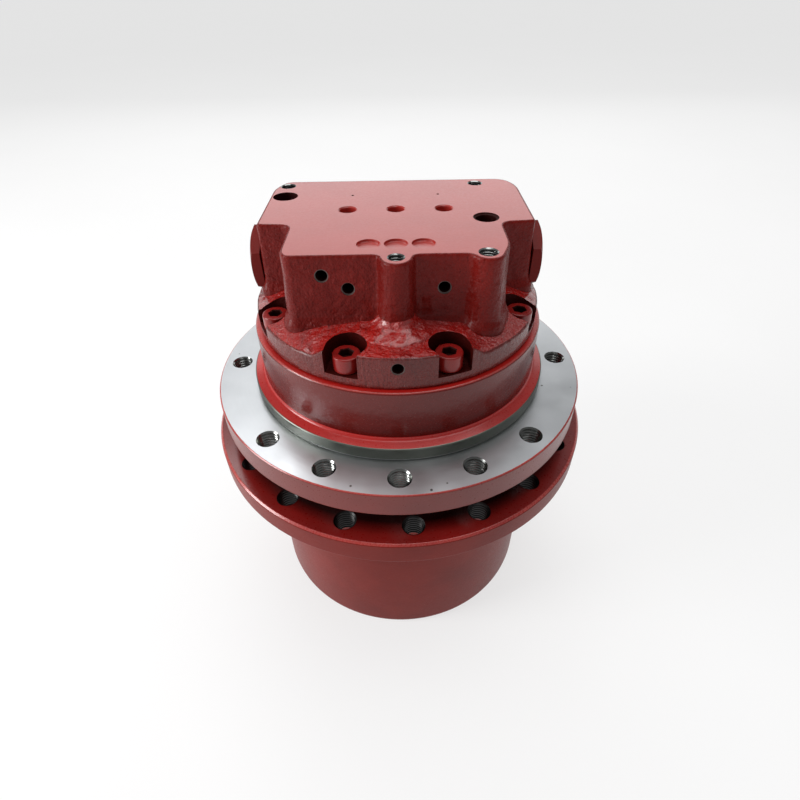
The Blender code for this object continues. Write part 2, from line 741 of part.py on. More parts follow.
def gear_train():
    """Ring gear, sun gears, carrier and pins."""
    ring_bottom = COVER_TOP + GAP
    ring_l = SPINDLE_Z - GAP - ring_bottom
    outlines = (circle(HUB_BORE_R - GAP, SIDES_CASE), ring_outline())
    extruded("ring_gear", outlines, ring_bottom, ring_l, GEAR_STEEL)

    outline = gear_outline(SUN_1_TEETH, sun_phase(SUN_1_TEETH, PLANET_1_TEETH))
    sun = extruded("sun_gear_1", (outline,), PLANET_1_Z - SUN_PROUD, PLANET_1_W + 2 * SUN_PROUD, GEAR_STEEL)
    shaft_z = PLANET_1_Z + 2 * SUN_PROUD
    shaft_l = SOCKET_TOP - SUN_PROUD - shaft_z
    shaft = ring("sun_gear_1_shaft", 0, SUN_SHAFT_R, shaft_z, shaft_l, SIDES_SHAFT)
    boolean(sun, shaft, "UNION")

    outline = gear_outline(SUN_2_TEETH, sun_phase(SUN_2_TEETH, PLANET_2_TEETH))
    sun_2_l = PLANET_2_TOP + SUN_PROUD - CARRIER_Z
    outlines = (outline, circle(SUN_2_BORE_R, SIDES_SHAFT))
    extruded("sun_gear_2", outlines, CARRIER_Z, sun_2_l, GEAR_STEEL)

    sun_2_tip = MODULE * SUN_2_TEETH / 2 + ADDENDUM
    carrier = ring(
        "planet_carrier_1", bore_over(sun_2_tip), CARRIER_R, CARRIER_Z, CARRIER_T, SIDES_RING, DARK_STEEL)
    pins = []
    for angle in planet_angles():
        x = PLANET_1_CIRCLE_R * math.cos(angle)
        y = PLANET_1_CIRCLE_R * math.sin(angle)
        pins.append(upright_hole(x, y, PIN_1_R, PLANET_1_Z - SUN_PROUD, CARRIER_Z + CARRIER_T / 2))
    boolean(carrier, cylinders("carrier_1_pins", pins, SIDES_SHAFT), "UNION")

    for letter, angle in zip("abc", planet_angles()):
        pin_l = SPINDLE_Z + PIN_2_SEAT - PIN_2_Z
        pin = ring("planet_pin_2" + letter, 0, PIN_2_R, PIN_2_Z, pin_l, SIDES_SHAFT, GROUND_STEEL)
        pin.location.x = PLANET_2_CIRCLE_R * math.cos(angle) * MM
        pin.location.y = PLANET_2_CIRCLE_R * math.sin(angle) * MM


def drive_shaft():
    """The motor shaft, with a socket below for the sun gear's shaft."""
    profile = (
        (0, SHAFT_TOP),
        (SHAFT_R, SHAFT_TOP),
        (SHAFT_R, SLEEVE_Z + SLEEVE_L),
        (SLEEVE_R, SLEEVE_Z + SLEEVE_L),
        (SLEEVE_R, SLEEVE_Z),
        (bore_over(SUN_SHAFT_R, SIDES_SHAFT), SLEEVE_Z),
        (bore_over(SUN_SHAFT_R, SIDES_SHAFT), SOCKET_TOP),
        (0, SOCKET_TOP),
    )
    turned("drive_shaft", profile, SIDES_SHAFT, GROUND_STEEL)
    sleeve_bore = bore_over(SLEEVE_R)
    seal_z = OIL_SEAL_Z + GAP
    bearing_z = OIL_SEAL_TOP + GAP
    bearing_t = SHAFT_BEARING_T - 2 * GAP
    ring("oil_seal", sleeve_bore, OIL_SEAL_R - 2 * GAP, seal_z, OIL_SEAL_T - 2 * GAP, SIDES_RING, SEAL_RUBBER)
    ring("shaft_bearing", sleeve_bore, SHAFT_BEARING_R - 2 * GAP, bearing_z, bearing_t, SIDES_RING, GROUND_STEEL)


def swash_plate():
    """A ring whose upper face is tilted about the Y axis."""
    bore = bore_over(SLEEVE_R)
    z = SWASH_FLOOR_Z + GAP
    plate = extruded(
        "swash_plate", (circle(SWASH_R, SIDES_RING), circle(bore, SIDES_RING)), z, SWASH_MID_T, DARK_STEEL)
    for vertex in plate.data.vertices:
        if vertex.co.z > 0:
            vertex.co.z += vertex.co.x * SWASH_RISE


def rotor():
    """Cylinder block on the shaft, with nine pistons hanging on one retainer plate."""
    bore_r = bore_over(PISTON_R, SIDES_HOLE)
    step = 360 / PISTONS
    centres = [from_front(step * i, PISTON_CIRCLE_R) for i in range(PISTONS)]
    outlines = [circle(BLOCK_R, SIDES_RING), circle(bore_over(SHAFT_R, SIDES_SHAFT), SIDES_SHAFT)]
    outlines += [circle(bore_r, SIDES_HOLE, centre) for centre in centres]
    extruded("cylinder_block", outlines, ROTOR_Z, BLOCK_L, BRASS)

    inner = bore_over(SHAFT_R, SIDES_SHAFT) + RETAINER_RIM
    outer = PISTON_CIRCLE_R + PISTON_R + RETAINER_RIM
    retainer = ring("piston_set", inner, outer, RETAINER_Z, RETAINER_T, SIDES_RING, GROUND_STEEL)
    low = RETAINER_Z + RETAINER_T / 2
    pistons = [upright_hole(x, y, PISTON_R, low, ROTOR_Z + PISTON_IN) for x, y in centres]
    boolean(retainer, cylinders("pistons", pistons), "UNION")


def kidney(middle):
    """A slot bent along the pistons' circle about a middle angle."""
    centre = (0, 0)
    start = middle - KIDNEY_HALF
    end = middle + KIDNEY_HALF
    outside = arc(centre, PISTON_CIRCLE_R + KIDNEY_W / 2, start, end, 6)
    return outside + arc(centre, PISTON_CIRCLE_R - KIDNEY_W / 2, end, start, 6)


def valve_plate():
    bore = circle(bore_over(SHAFT_R, SIDES_SHAFT), SIDES_SHAFT)
    outlines = (circle(BLOCK_R, SIDES_RING), bore, kidney(0), kidney(180))
    extruded("valve_plate", outlines, VALVE_PLATE_Z, VALVE_PLATE_T, BRASS)


def parking_brake():
    """Friction discs on the cylinder block between steel plates in the case, under a sprung piston."""
    outer = CASE_BORE_R - 2 * GAP
    step = BRAKE_DISC_T + BRAKE_GAP
    z = BRAKE_FLOOR_Z + BRAKE_GAP
    for number in (1, 2):
        ring(f"friction_disc_{number}", bore_over(BLOCK_R), BRAKE_DISC_R, z, BRAKE_DISC_T, SIDES_RING, FRICTION)
        z += step
        ring(f"brake_plate_{number}", BRAKE_PLATE_IN_R, outer, z, BRAKE_DISC_T, SIDES_RING, GROUND_STEEL)
        z += step
    ring("brake_piston", BRAKE_PLATE_IN_R, outer, z, BRAKE_PISTON_T, SIDES_RING, DARK_STEEL)
    spring_z = z + BRAKE_PISTON_T + BRAKE_TRAVEL + GAP
    spring_top = BLOCK_BASE_Z - GAP
    spring_in = BOSS_R + BRAKE_SPRING_STEP
    spring_out = outer - BRAKE_SPRING_MARGIN
    profile = (
        (spring_out, spring_z + BRAKE_SPRING_T),
        (spring_out, spring_z),
        (spring_in, spring_top - BRAKE_SPRING_T),
        (spring_in, spring_top),
    )
    turned("brake_spring", profile, SIDES_RING, DARK_STEEL)


def half_outline(side):
    """One side of the port block seen from above, from the back to the front; side is -1 left, 1 right."""
    points = [
        (side * BACK_CORNER_X, BACK_Y),
        (side * EAR_X, EAR_BACK_Y),
        (side * EAR_X, EAR_FRONT_Y),
        (side * (NOTCH_X + NOTCH_FILLET), EAR_FRONT_Y - NOTCH_FILLET / 5),
        (side * NOTCH_X, EAR_FRONT_Y - NOTCH_FILLET - 1),
    ]
    if side < 0:
        points += [(-NOTCH_X, FRONT_Y + EDGE_BOSS_R), (-FRONT_CORNER_X, FRONT_Y)]
        return points
    points += [(NOTCH_X, CORNER_BOSS_Y + EDGE_BOSS_R)]
    points += arc((CORNER_BOSS_X, CORNER_BOSS_Y), EDGE_BOSS_R, -20, -155, 6)
    points += [(CORNER_BOSS_X - EDGE_BOSS_R - CORNER_BOSS_FILLET, FRONT_Y)]
    return points


def port_block_outline():
    boss = arc((FRONT_BOSS_X, FRONT_BOSS_Y), EDGE_BOSS_R, 175, 365, 7)
    left = half_outline(-1)
    right = half_outline(1)
    fillet = EDGE_BOSS_R + EDGE_BOSS_FILLET
    shoulder = [(FRONT_BOSS_X - fillet, FRONT_Y)] + boss + [(FRONT_BOSS_X + fillet, FRONT_Y)]
    return left + shoulder + list(reversed(right))


def front_pad():
    """The level part of the base between and beside the two front screws."""
    outside = arc((0, 0), BASE_R - BASE_EDGE, -90 - FRONT_PAD_ANGLE, -90 + FRONT_PAD_ANGLE, 6)
    inside = arc((0, 0), FRONT_PAD_IN_R, -90 + FRONT_PAD_ANGLE, -90 - FRONT_PAD_ANGLE, 3)
    low = RIM_TOP - CUT
    return extruded("port_block_front_pad", (outside + inside,), low, BASE_TOP - low)


def mouths():
    """Boxes that open the screw pockets through the rim of the base."""
    mesh = bpy.data.meshes.new("pocket_mouths")
    bm = bmesh.new()
    reach = BASE_R + CUT - SCREW_CIRCLE_R
    for angle in SCREW_ANGLES:
        turn = Matrix.Rotation(math.radians(angle), 4, "Z")
        middle = Matrix.Translation((0, -(SCREW_CIRCLE_R + reach / 2) * MM, (SCREW_SEAT_Z + POCKET_H / 2) * MM))
        size = Matrix.Diagonal((POCKET_MOUTH_W * MM, reach * MM, POCKET_H * MM, 1))
        bmesh.ops.create_cube(bm, size=1, matrix=turn @ middle @ size)
    bm.to_mesh(mesh)
    bm.free()
    return make_object("pocket_mouths", mesh)


def port_block():
    """The cast block that carries the oil passages, on a round base that closes the motor case."""
    low = BASE_TOP - BLOCK_SKIRT
    block = extruded("port_block", (port_block_outline(),), low, BLOCK_TOP - low, RED_PAINT)
    for vertex in block.data.vertices:
        if vertex.co.z < 0:
            vertex.co.x *= BLOCK_DRAFT
            vertex.co.y *= BLOCK_DRAFT
    base_profile = (
        (0, BASE_TOP + BASE_CROWN),
        (BASE_CROWN_R, BASE_TOP + BASE_CROWN),
        (BASE_SLOPE_R, BASE_TOP),
        (BASE_R - BASE_EDGE, RIM_TOP),
        (BASE_R, RIM_TOP - BASE_EDGE),
        (BASE_R, BLOCK_BASE_Z + BASE_FOOT_EDGE),
        (BASE_R - BASE_FOOT_EDGE, BLOCK_BASE_Z),
        (BOSS_R, BLOCK_BASE_Z),
        (BOSS_R, BOSS_Z),
        (0, BOSS_Z),
    )
    boolean(block, turned("port_block_base", base_profile, SIDES_CASE), "UNION")
    boolean(block, front_pad(), "UNION")

    pockets = []
    holes = []
    for angle in SCREW_ANGLES:
        x, y = from_front(angle, SCREW_CIRCLE_R)
        pockets.append(upright_hole(x, y, POCKET_R, SCREW_SEAT_Z, SCREW_SEAT_Z + POCKET_H))
        holes.append(upright_hole(x, y, SCREW_R + 2 * GAP, BLOCK_BASE_Z - CUT, SCREW_SEAT_Z + CUT))
    boolean(block, cylinders("screw_pockets", pockets, 16))
    boolean(block, mouths())
    boolean(block, cylinders("block_screw_holes", holes))

    tops = []
    for x, y, radius, depth in TOP_HOLES:
        tops.append(upright_hole(x, y, radius, BLOCK_TOP - depth, BLOCK_TOP + CUT))
    x, y = from_front(SCREW_ANGLES[5], SCREW_CIRCLE_R)
    tops.append(upright_hole(x, y, ACCESS_HOLE_R, SCREW_SEAT_Z + POCKET_H - CUT, BLOCK_TOP + CUT))
    boolean(block, cylinders("top_holes", tops, 10))
    shaft_hole = upright_hole(0, 0, bore_over(SHAFT_R, SIDES_SHAFT), BOSS_Z - CUT, SHAFT_TOP + GAP)
    boolean(block, cylinders("shaft_end_bore", [shaft_hole], SIDES_SHAFT))

    fronts = []
    for x, depth in GAUGE_HOLES:
        middle = FRONT_Y + GAUGE_DEPTH / 2 - CUT / 2
        fronts.append(((x, middle, BLOCK_TOP - depth), GAUGE_R, GAUGE_DEPTH + CUT, ALONG_Y))
    base_hole_y = -BASE_R + GAUGE_DEPTH / 2
    fronts.append(((0, base_hole_y, BASE_TOP - BASE_HOLE_BELOW_EDGE), BASE_HOLE_R, GAUGE_DEPTH + CUT, ALONG_Y))
    boolean(block, cylinders("front_holes", fronts))
    backs = []
    for side in (-1, 1):
        middle = BACK_Y - PORT_DEPTH / 2 + CUT
        centre = (side * PORT_X, middle, BLOCK_TOP - PORT_BELOW_TOP)
        backs.append((centre, PORT_R, PORT_DEPTH + 2 * CUT, ALONG_Y))
    boolean(block, cylinders("main_ports", backs, 12))

    bore = ((0, SPOOL_Y, SPOOL_Z), SPOOL_R + 2 * GAP, 2 * EAR_X, ALONG_X)
    boolean(block, cylinders("spool_bore", [bore], SIDES_SHAFT))
    ends = []
    plug_bottom = EAR_X - CAP_PLUG_L
    for side in (-1, 1):
        inner = plug_bottom - GAP
        outer = EAR_X + CUT
        ends.append(((side * (inner + outer) / 2, SPOOL_Y, SPOOL_Z), CAP_PLUG_R + 2 * GAP, outer - inner, ALONG_X))
    boolean(block, cylinders("cap_bores", ends, SIDES_SHAFT))
    faces = []
    for side in (-1, 1):
        outer = BASE_R + CUT
        centre = (side * (CAP_SEAT_X + outer) / 2, SPOOL_Y, SPOOL_Z)
        faces.append((centre, SPOT_FACE_R, outer - CAP_SEAT_X, ALONG_X))
    boolean(block, cylinders("cap_spot_faces", faces, SIDES_RING))


def counterbalance_valve():
    """Spool across the block, a spring at each end and the hexagon caps that hold them."""
    half = SPOOL_HALF
    profile = [
        (0, half),
        (SPOOL_R, half),
        (SPOOL_R, half - SPOOL_END_LAND),
        (SPOOL_WAIST_R, half - SPOOL_END_LAND),
        (SPOOL_WAIST_R, SPOOL_MID_LAND),
        (SPOOL_R, SPOOL_MID_LAND),
        (SPOOL_R, SPOOL_MID_WAIST),
        (SPOOL_WAIST_R, SPOOL_MID_WAIST),
    ]
    lower = [(radius, -z) for radius, z in reversed(profile)]
    spool = turned("counterbalance_spool", profile + lower, SIDES_SHAFT, GROUND_STEEL)
    spool.rotation_euler.y = math.radians(90)
    spool.location = (0, SPOOL_Y * MM, SPOOL_Z * MM)

    hexagon_turn = ALONG_X @ Matrix.Rotation(math.pi / 6, 4, "Z")
    for side, name in ((-1, "left"), (1, "right")):
        end = CAP_SEAT_X + CAP_HEAD_T
        profile = (
            (0, end),
            (CAP_CORNER_R - CAP_EDGE_R, end),
            (CAP_CORNER_R + CAP_BLANK, end - CAP_EDGE),
            (CAP_CORNER_R + CAP_BLANK, CAP_SEAT_X + GAP),
            (CAP_PLUG_R, CAP_SEAT_X + GAP),
            (CAP_PLUG_R, EAR_X - CAP_PLUG_L),
            (0, EAR_X - CAP_PLUG_L),
        )
        cap = turned("spool_cap_" + name, profile, SIDES_SHAFT, DARK_STEEL)
        cap.rotation_euler.y = math.radians(90 * side)
        cap.location = (0, SPOOL_Y * MM, SPOOL_Z * MM)
        hexagon = ((side * EAR_X, SPOOL_Y, SPOOL_Z), CAP_CORNER_R, 4 * CAP_PLUG_L, hexagon_turn)
        boolean(cap, cylinders(f"cap_{name}_hexagon", [hexagon], 6), "INTERSECT")

        inner = SPOOL_HALF + SPOOL_TRAVEL + GAP + SPRING_WIRE_R
        outer = EAR_X - CAP_PLUG_L - GAP - SPRING_WIRE_R
        coil("spool_spring_" + name, side * inner, side * outer)


def coil(name, start, end):
    """A round wire spring along X between two wire centres."""
    per_turn = 8
    curve = bpy.data.curves.new(name, "CURVE")
    curve.dimensions = "3D"
    curve.bevel_depth = SPRING_WIRE_R * MM
    curve.bevel_resolution = 1
    curve.use_fill_caps = True
    count = SPRING_TURNS * per_turn
    spline = curve.splines.new("POLY")
    spline.points.add(count)
    for i, point in enumerate(spline.points):
        turn = math.tau * i / per_turn
        x = start + (end - start) * i / count
        y = SPOOL_Y + SPRING_R * math.cos(turn)
        z = SPOOL_Z + SPRING_R * math.sin(turn)
        point.co = (x * MM, y * MM, z * MM, 1.0)
    wire = bpy.data.objects.new(name + "_wire", curve)
    solid_from_curve(name, wire, DARK_STEEL)


def cover_screws():
    """Socket head screws that hold the port block to the motor case."""
    for number, angle in enumerate(SCREW_ANGLES, start=1):
        seat = SCREW_SEAT_Z + GAP
        profile = (
            (0, seat + HEAD_H),
            (HEAD_R, seat + HEAD_H),
            (HEAD_R, seat),
            (SCREW_R, seat),
            (SCREW_R, seat - SCREW_L),
            (0, seat - SCREW_L),
        )
        screw = turned(f"block_screw_{number}", profile, SIDES_SHAFT, RED_PAINT)
        x, y = from_front(angle, SCREW_CIRCLE_R)
        screw.location = (x * MM, y * MM, 0)
        socket = upright_hole(x, y, HEAD_SOCKET_R, seat + HEAD_H - HEAD_SOCKET_DEPTH, seat + HEAD_H + CUT)
        boolean(screw, cylinders(f"block_screw_{number}_socket", [socket], 6))


hub_housing()
motor_case()
end_cover()
face_seal()
hub_bearings()
gear_train()
planet_gears()
drive_shaft()
swash_plate()
rotor()
valve_plate()
parking_brake()
port_block()
counterbalance_valve()
cover_screws()
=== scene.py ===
"""Looks of the excavator final drive: refined castings, threads, finishes, studio light and camera.

Sizes are in millimetres and angles in degrees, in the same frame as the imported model.
MM turns them into metres.
"""
import json
import math

import bmesh
import bpy
from mathutils import Euler, Matrix, Vector, noise


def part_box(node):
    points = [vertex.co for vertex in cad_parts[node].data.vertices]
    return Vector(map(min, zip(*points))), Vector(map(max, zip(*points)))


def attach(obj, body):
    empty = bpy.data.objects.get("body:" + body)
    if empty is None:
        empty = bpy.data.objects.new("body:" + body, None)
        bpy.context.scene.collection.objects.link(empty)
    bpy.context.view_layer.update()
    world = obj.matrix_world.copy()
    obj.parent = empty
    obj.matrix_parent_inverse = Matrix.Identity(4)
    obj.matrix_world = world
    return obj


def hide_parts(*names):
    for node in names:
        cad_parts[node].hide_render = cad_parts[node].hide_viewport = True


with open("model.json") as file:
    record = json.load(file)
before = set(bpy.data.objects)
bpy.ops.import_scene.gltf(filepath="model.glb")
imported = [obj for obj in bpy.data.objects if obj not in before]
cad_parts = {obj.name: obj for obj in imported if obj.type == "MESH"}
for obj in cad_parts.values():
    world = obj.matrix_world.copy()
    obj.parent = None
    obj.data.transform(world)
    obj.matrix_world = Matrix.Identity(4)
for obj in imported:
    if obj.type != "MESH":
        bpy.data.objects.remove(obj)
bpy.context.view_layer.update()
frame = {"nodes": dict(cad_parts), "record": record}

MM = 0.001
OVERLAP = 3.0               # how far a cutter runs past the face that it opens
SHARP_ANGLE = math.radians(32)      # edges that turn by more stay sharp
ON_AXIS = 1e-6              # a smaller radius is a point of the axis

# Sides of the turned pieces and cutters
BASE_SIDES = 240
FINE = 144
FOOT_SIDES = 96
CAP_SIDES = 72
SPOT_FACE_SIDES = 64
ROUND_SIDES = 48
DISH_SIDES = 40
HOLE_SIDES = 36
DOT_SIDES = 16
HEXAGON = 6

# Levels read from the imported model
HUB_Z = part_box("hub_housing")[0][2] / MM
CASE_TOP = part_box("motor_case")[1][2] / MM
BLOCK_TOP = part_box("port_block")[1][2] / MM
SCREW_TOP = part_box("block_screw_1")[1][2] / MM
SCREW_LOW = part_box("block_screw_1")[0][2] / MM
CAP_INNER_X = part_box("spool_cap_right")[0][0] / MM

# Hub
HUB_R = 88.5
HUB_BORE_R = 76.3
HUB_FLANGE_R = 114.4
HUB_FLANGE_Z = 114.0
HUB_FLANGE_TOP = 128.1
HUB_COLLAR_R = 94.0
HUB_SPLIT_Z = 42.0          # an extra ring of vertices in the hub's side
SEAL_FACE_Z = 134.4
SEAL_FLOOR_Z = 127.4
SEAL_ROOF_Z = 141.4
SEAL_BORE_R = 86.0
SHOULDER_Z = 114.8
SEAL_CONE_Z = SHOULDER_Z + 1.5
WEB_Z = 93.8
WEB_TOP = 96.2
WEB_R = 71.0
WIRE_Z = 2.0
WIRE_TOP = 5.0
WIRE_GROOVE_R = 79.5
SPROCKET_BOLTS = 18
SPROCKET_BOLT_R = 102.3
SPROCKET_BOLT_PHASE = 3.7

# Motor case
FRAME_FLANGE_R = 108.0
FRAME_Z = 144.0
FRAME_TOP = 158.5
FRAME_BOLT_R = 97.0
FRAME_BOLT_ANGLES = (0, 22.5, -22.5, 45, -45, 90, -90, 135, -135, 157.5, -157.5, 180)
SKIRT_R = 95.5
SKIRT_Z = 134.9
SPIGOT_R = 85.7
SPIGOT_TOP = 165.5
SPIGOT_GROOVE = 0.8         # radial depth of the groove at the spigot's foot
LEDGE_TOP = 167.6
CASE_R = 80.0
CASE_BORE_R = 58.0
CASE_FLOOR_Z = 160.0
SPINDLE_R = 57.7
SPINDLE_ROOT_R = 62.0
SPINDLE_Z = 69.5
SPINDLE_BORE_R = 16.0
OIL_SEAL_R = 20.0
OIL_SEAL_Z = 115.8
SHAFT_BEARING_R = 26.0
SHAFT_BEARING_Z = 122.1
SWASH_BORE_R = 46.0
SWASH_Z = 133.8
PIN_ANGLES = (180, -60, 60)
PIN_CIRCLE_R = 45.0
PIN_HOLE_R = 9.6
PIN_HOLE_DEPTH = 15.3
BEAD_W = 0.8                # the chamfer at the top of the case, in a lighter paint: a painted highlight
EDGE_W = 1.2                # the chamfer at the flanges' top edge, in a lighter paint: a painted highlight

# Threads
M12_R = 6.0
M12_CORE_R = 5.2
M12_PITCH = 1.75
HUB_THREAD_MOUTH = 0.7
CASE_THREAD_MOUTH = 0.8
FLANGE_MOUTH_CLEAR = 0.3    # how much wider a mouth is than its thread
BLIND_MOUTH_CLEAR = 0.2
MOUTH_RISE = 0.2            # how far a mouth's chamfer runs past the face
DRILL_CONE = 2.0
GROOVE = (0.15, 0.52, 0.9)  # start, root and end of a groove, in shares of the pitch

# Port block
BASE_R = 77.0
BASE_Z = 196.9
BASE_TOP = 214.0
BASE_CROWN_R = 50.0
BASE_CROWN_RISE = 2.0
BASE_SLOPE_R = 62.0
RIM_DROP = 6.0              # how much lower the base is at its rim, apart from its front pad
RIM_STEPS = 8
FRONT_PAD_ANGLE = 29.0
PAD_BLEND = 6.0             # the angle over which the pad falls off to the lower rim
BASE_TOP_WAVE = 0.45        # how far the casting's waves move the base's top up and down
BASE_SIDE_WAVE = 0.2
BASE_SPREAD = 0.0022        # and its side in and out, as a share of the radius
BOSS_R = 40.0
BOSS_Z = 190.3
EAR_X = 70.0
EAR_FRONT_Y = -8.5
EAR_BACK_Y = 45.0
BACK_Y = 57.6
BACK_CORNER_X = 64.3
NOTCH_X = 53.0
NOTCH_Y = EAR_FRONT_Y - 1.5
FRONT_Y = -46.0
FRONT_CORNER_X = 50.5
FRONT_BOSS = (0.0, -48.1)
CORNER_BOSS = (41.5, -44.2)
EDGE_BOSS_R = 7.7
FRONT_FOOT_R = 19.0
FRONT_FOOT_H = 9.0
FOOT_WAVE = 0.35
FOOT_SPREAD = 0.03
OUTLINE_STEP = 1.6
OUTLINE_GAP = 1e-4          # shorter steps of the outline are left out
SPOOL_Y = 8.0
SPOOL_Z = 223.8
SPOOL_BORE_R = 8.8
CAP_SEAT_X = 70.8
CAP_HEAD_T = 5.7
CAP_CORNER_R = 16.0 / math.cos(math.pi / 6)
CAP_PLUG_R = 11.7
CAP_PLUG_X = 51.7

# Wall of the block from its foot to its top: height, outward offset, waviness of the casting
BLOCK_LEVELS = (
    (206.0, 3.6, 0.0), (213.0, 3.4, 0.0), (214.6, 2.7, 0.1), (215.8, 1.9, 0.2), (217.2, 1.3, 0.3),
    (219.0, 0.95, 0.35), (221.5, 0.8, 0.35), (224.5, 0.6, 0.35), (228.0, 0.45, 0.35), (231.5, 0.3, 0.3),
    (235.0, 0.15, 0.3), (238.5, 0.05, 0.3), (242.0, 0.0, 0.25), (245.0, 0.0, 0.2), (246.9, 0.0, 0.1),
    (247.6, -0.1, 0.05), (248.1, -0.35, 0.0), (248.4, -0.65, 0.0), (248.5, -1.1, 0.0), (248.5, -1.3, 0.0),
)

# Screws of the port block
SCREW_CIRCLE_R = 69.2
SCREW_ANGLES = (20.2, 65.9, 117.5, 159.8, -159.8, -117.5, -65.9, -20.2)
SCREW_SEAT_Z = 201.5
POCKET_TOP = 222.0
POCKET_R = 10.0
POCKET_MOUTH_W = 17.0
HEAD_R = 6.65
HEAD_H = 8.0
KEY_R = 3.46
KEY_DEPTH = 3.6
KEY_CONE = 1.0
KEY_CHAMFER = 0.5
KEY_TURN = 17               # every key stands so much further round than the one before
SHANK_R = 4.0
SHANK_HOLE_R = SHANK_R + 0.6

# Holes in the block's top: x, y, thread radius, depth
TOP_THREADS = (
    (-62.4, 49.2, 4.5, 14.0),
    (0.0, -48.3, 4.1, 16.0),
    (41.3, -44.3, 4.7, 16.0),
    (46.2, 49.7, 4.4, 14.0),
)
TOP_THREAD_H = 0.6
TOP_THREAD_PITCH = 1.25
TOP_THREAD_MOUTH = 0.5
STEP_BORE = (45.7, -3.3)
STEP_BORE_R = 6.6
STEP_BORE_CORE_R = 5.412
STEP_BORE_DEPTH = 9.0
STEP_BORE_CONE = 3.3
BLIND_HOLES = ((-25.3, 10.3), (0.0, 10.3), (25.3, 10.3))
BLIND_R = 5.0
BLIND_WALL_DEPTH = 6.5
BLIND_DEPTH = 9.0
RECESSES = ((-12.8, -33.8), (0.0, -33.8), (12.8, -33.8))
RECESS_R = 5.6
RECESS_DEPTH = 1.5
DOTS = ((-23.9, 32.0), (23.5, 31.9))
DOT_R = 0.8
DOT_DEPTH = 1.5
ACCESS_R = 6.9
ACCESS_ANGLE = SCREW_ANGLES[5]

# Holes in the block's front and back; a gauge port is x and its depth below the top
GAUGE_HOLES = ((-34.2, 9.6), (-22.5, 16.2), (22.2, 16.2))
GAUGE_R = 2.7
GAUGE_DEPTH = 13.0
GAUGE_RING_W = 0.55
BASE_HOLE_Z = 208.5
BASE_HOLE_DEPTH = 12.0
PORT_X = 24.0
PORT_Z = 234.0
PORT_THREAD_R = 9.8
PORT_CORE_R = 8.9
PORT_DEPTH = 16.0
PORT_PITCH = 1.81
PORT_MOUTH = 1.0

# Camera, fitted to the photo
CAMERA_AT = (1.09, -261.5, 346.8)
CAMERA_DOWN = 40.234
CAMERA_TURN = -0.117
CAMERA_ROLL = -0.979
FOCAL_PX = 515.7
FRAME_PX = 800
SENSOR = 36.0

# Studio
FLOOR_SIZE = 40.0           # metres
FLOOR_DROP = 0.5            # how far the floor lies below the hub's rim
WHITE = (1.0, 1.0, 1.0, 1.0)
MIDDLE = (0.0, 0.0, 0.15)

# Area lights: name, place, target, width and height in metres, power in watts
SOFTBOXES = (
    ("low_back_box", (0.0, 1.5, 0.8), (0.0, 0.0, 0.24), 2.6, 0.6, 6.0),
    ("high_back_box", (-0.33, 1.12, 1.68), MIDDLE, 1.0, 0.65, 6.0),
    ("left_box", (-1.2, -0.3, 0.6), MIDDLE, 0.5, 0.8, 13.0),
    ("top_box", (0.1, 0.1, 1.6), MIDDLE, 1.2, 1.2, 10.0),
)


def from_front(angle, radius):
    """The point at an angle from the front, positive to the right."""
    turn = math.radians(angle)
    return radius * math.sin(turn), -radius * math.cos(turn)


def clamped(value):
    """The value, kept between 0 and 1."""
    return min(1.0, max(0.0, value))


# Materials

SPECK_COLOUR = (0.55, 0.28, 0.24)
PIT_COLOUR = (0.07, 0.065, 0.06)
MIX_FACTOR, MIX_FIRST, MIX_SECOND, MIX_RESULT = 0, 6, 7, 2      # sockets of a mix node for colours


def new_material(name):
    """A Principled material with its tree, its shader and the coordinates of the row frame."""
    material = bpy.data.materials.new(name)
    material.use_nodes = True
    tree = material.node_tree
    shader = tree.nodes["Principled BSDF"]
    place = tree.nodes.new("ShaderNodeTexCoord")
    return material, tree, shader, place.outputs["Object"]


def noise_node(tree, vector, scale, detail=6.0, rough=0.55, stretch=None):
    """Noise over the surface, finer along the axes with a larger stretch."""
    if stretch:
        mapping = tree.nodes.new("ShaderNodeMapping")
        mapping.inputs["Scale"].default_value = stretch
        tree.links.new(vector, mapping.inputs["Vector"])
        vector = mapping.outputs["Vector"]
    node = tree.nodes.new("ShaderNodeTexNoise")
    node.inputs["Scale"].default_value = scale
    node.inputs["Detail"].default_value = detail
    node.inputs["Roughness"].default_value = rough
    tree.links.new(vector, node.inputs["Vector"])
    return node.outputs["Fac"]


def ramp(tree, value, stops):
    """A colour ramp over a value; stops are (position, colour or grey level)."""
    node = tree.nodes.new("ShaderNodeValToRGB")
    elements = node.color_ramp.elements
    while len(elements) < len(stops):
        elements.new(0.5)
    for element, (position, colour) in zip(elements, stops):
        element.position = position
        if isinstance(colour, float):
            colour = (colour, colour, colour)
        element.color = (*colour, 1.0)
    tree.links.new(value, node.inputs["Fac"])
    return node.outputs["Color"]


def mix(tree, factor, first, second):
    """Blend two colours; each value may be a socket, a colour or a number."""
    node = tree.nodes.new("ShaderNodeMix")
    node.data_type = "RGBA"
    for index, value in ((MIX_FACTOR, factor), (MIX_FIRST, first), (MIX_SECOND, second)):
        socket = node.inputs[index]
        if isinstance(value, bpy.types.NodeSocket):
            tree.links.new(value, socket)
        elif isinstance(value, tuple):
            socket.default_value = (*value, 1.0)
        else:
            socket.default_value = value
    return node.outputs[MIX_RESULT]


def bump(tree, shader, height, distance, after=None):
    """Raise the surface by up to a distance in millimetres, on top of an earlier bump."""
    node = tree.nodes.new("ShaderNodeBump")
    node.inputs["Distance"].default_value = distance * MM
    node.inputs["Strength"].default_value = 1.0
    tree.links.new(height, node.inputs["Height"])
    if after:
        tree.links.new(after, node.inputs["Normal"])
    tree.links.new(node.outputs["Normal"], shader.inputs["Normal"])
    return node.outputs["Normal"]


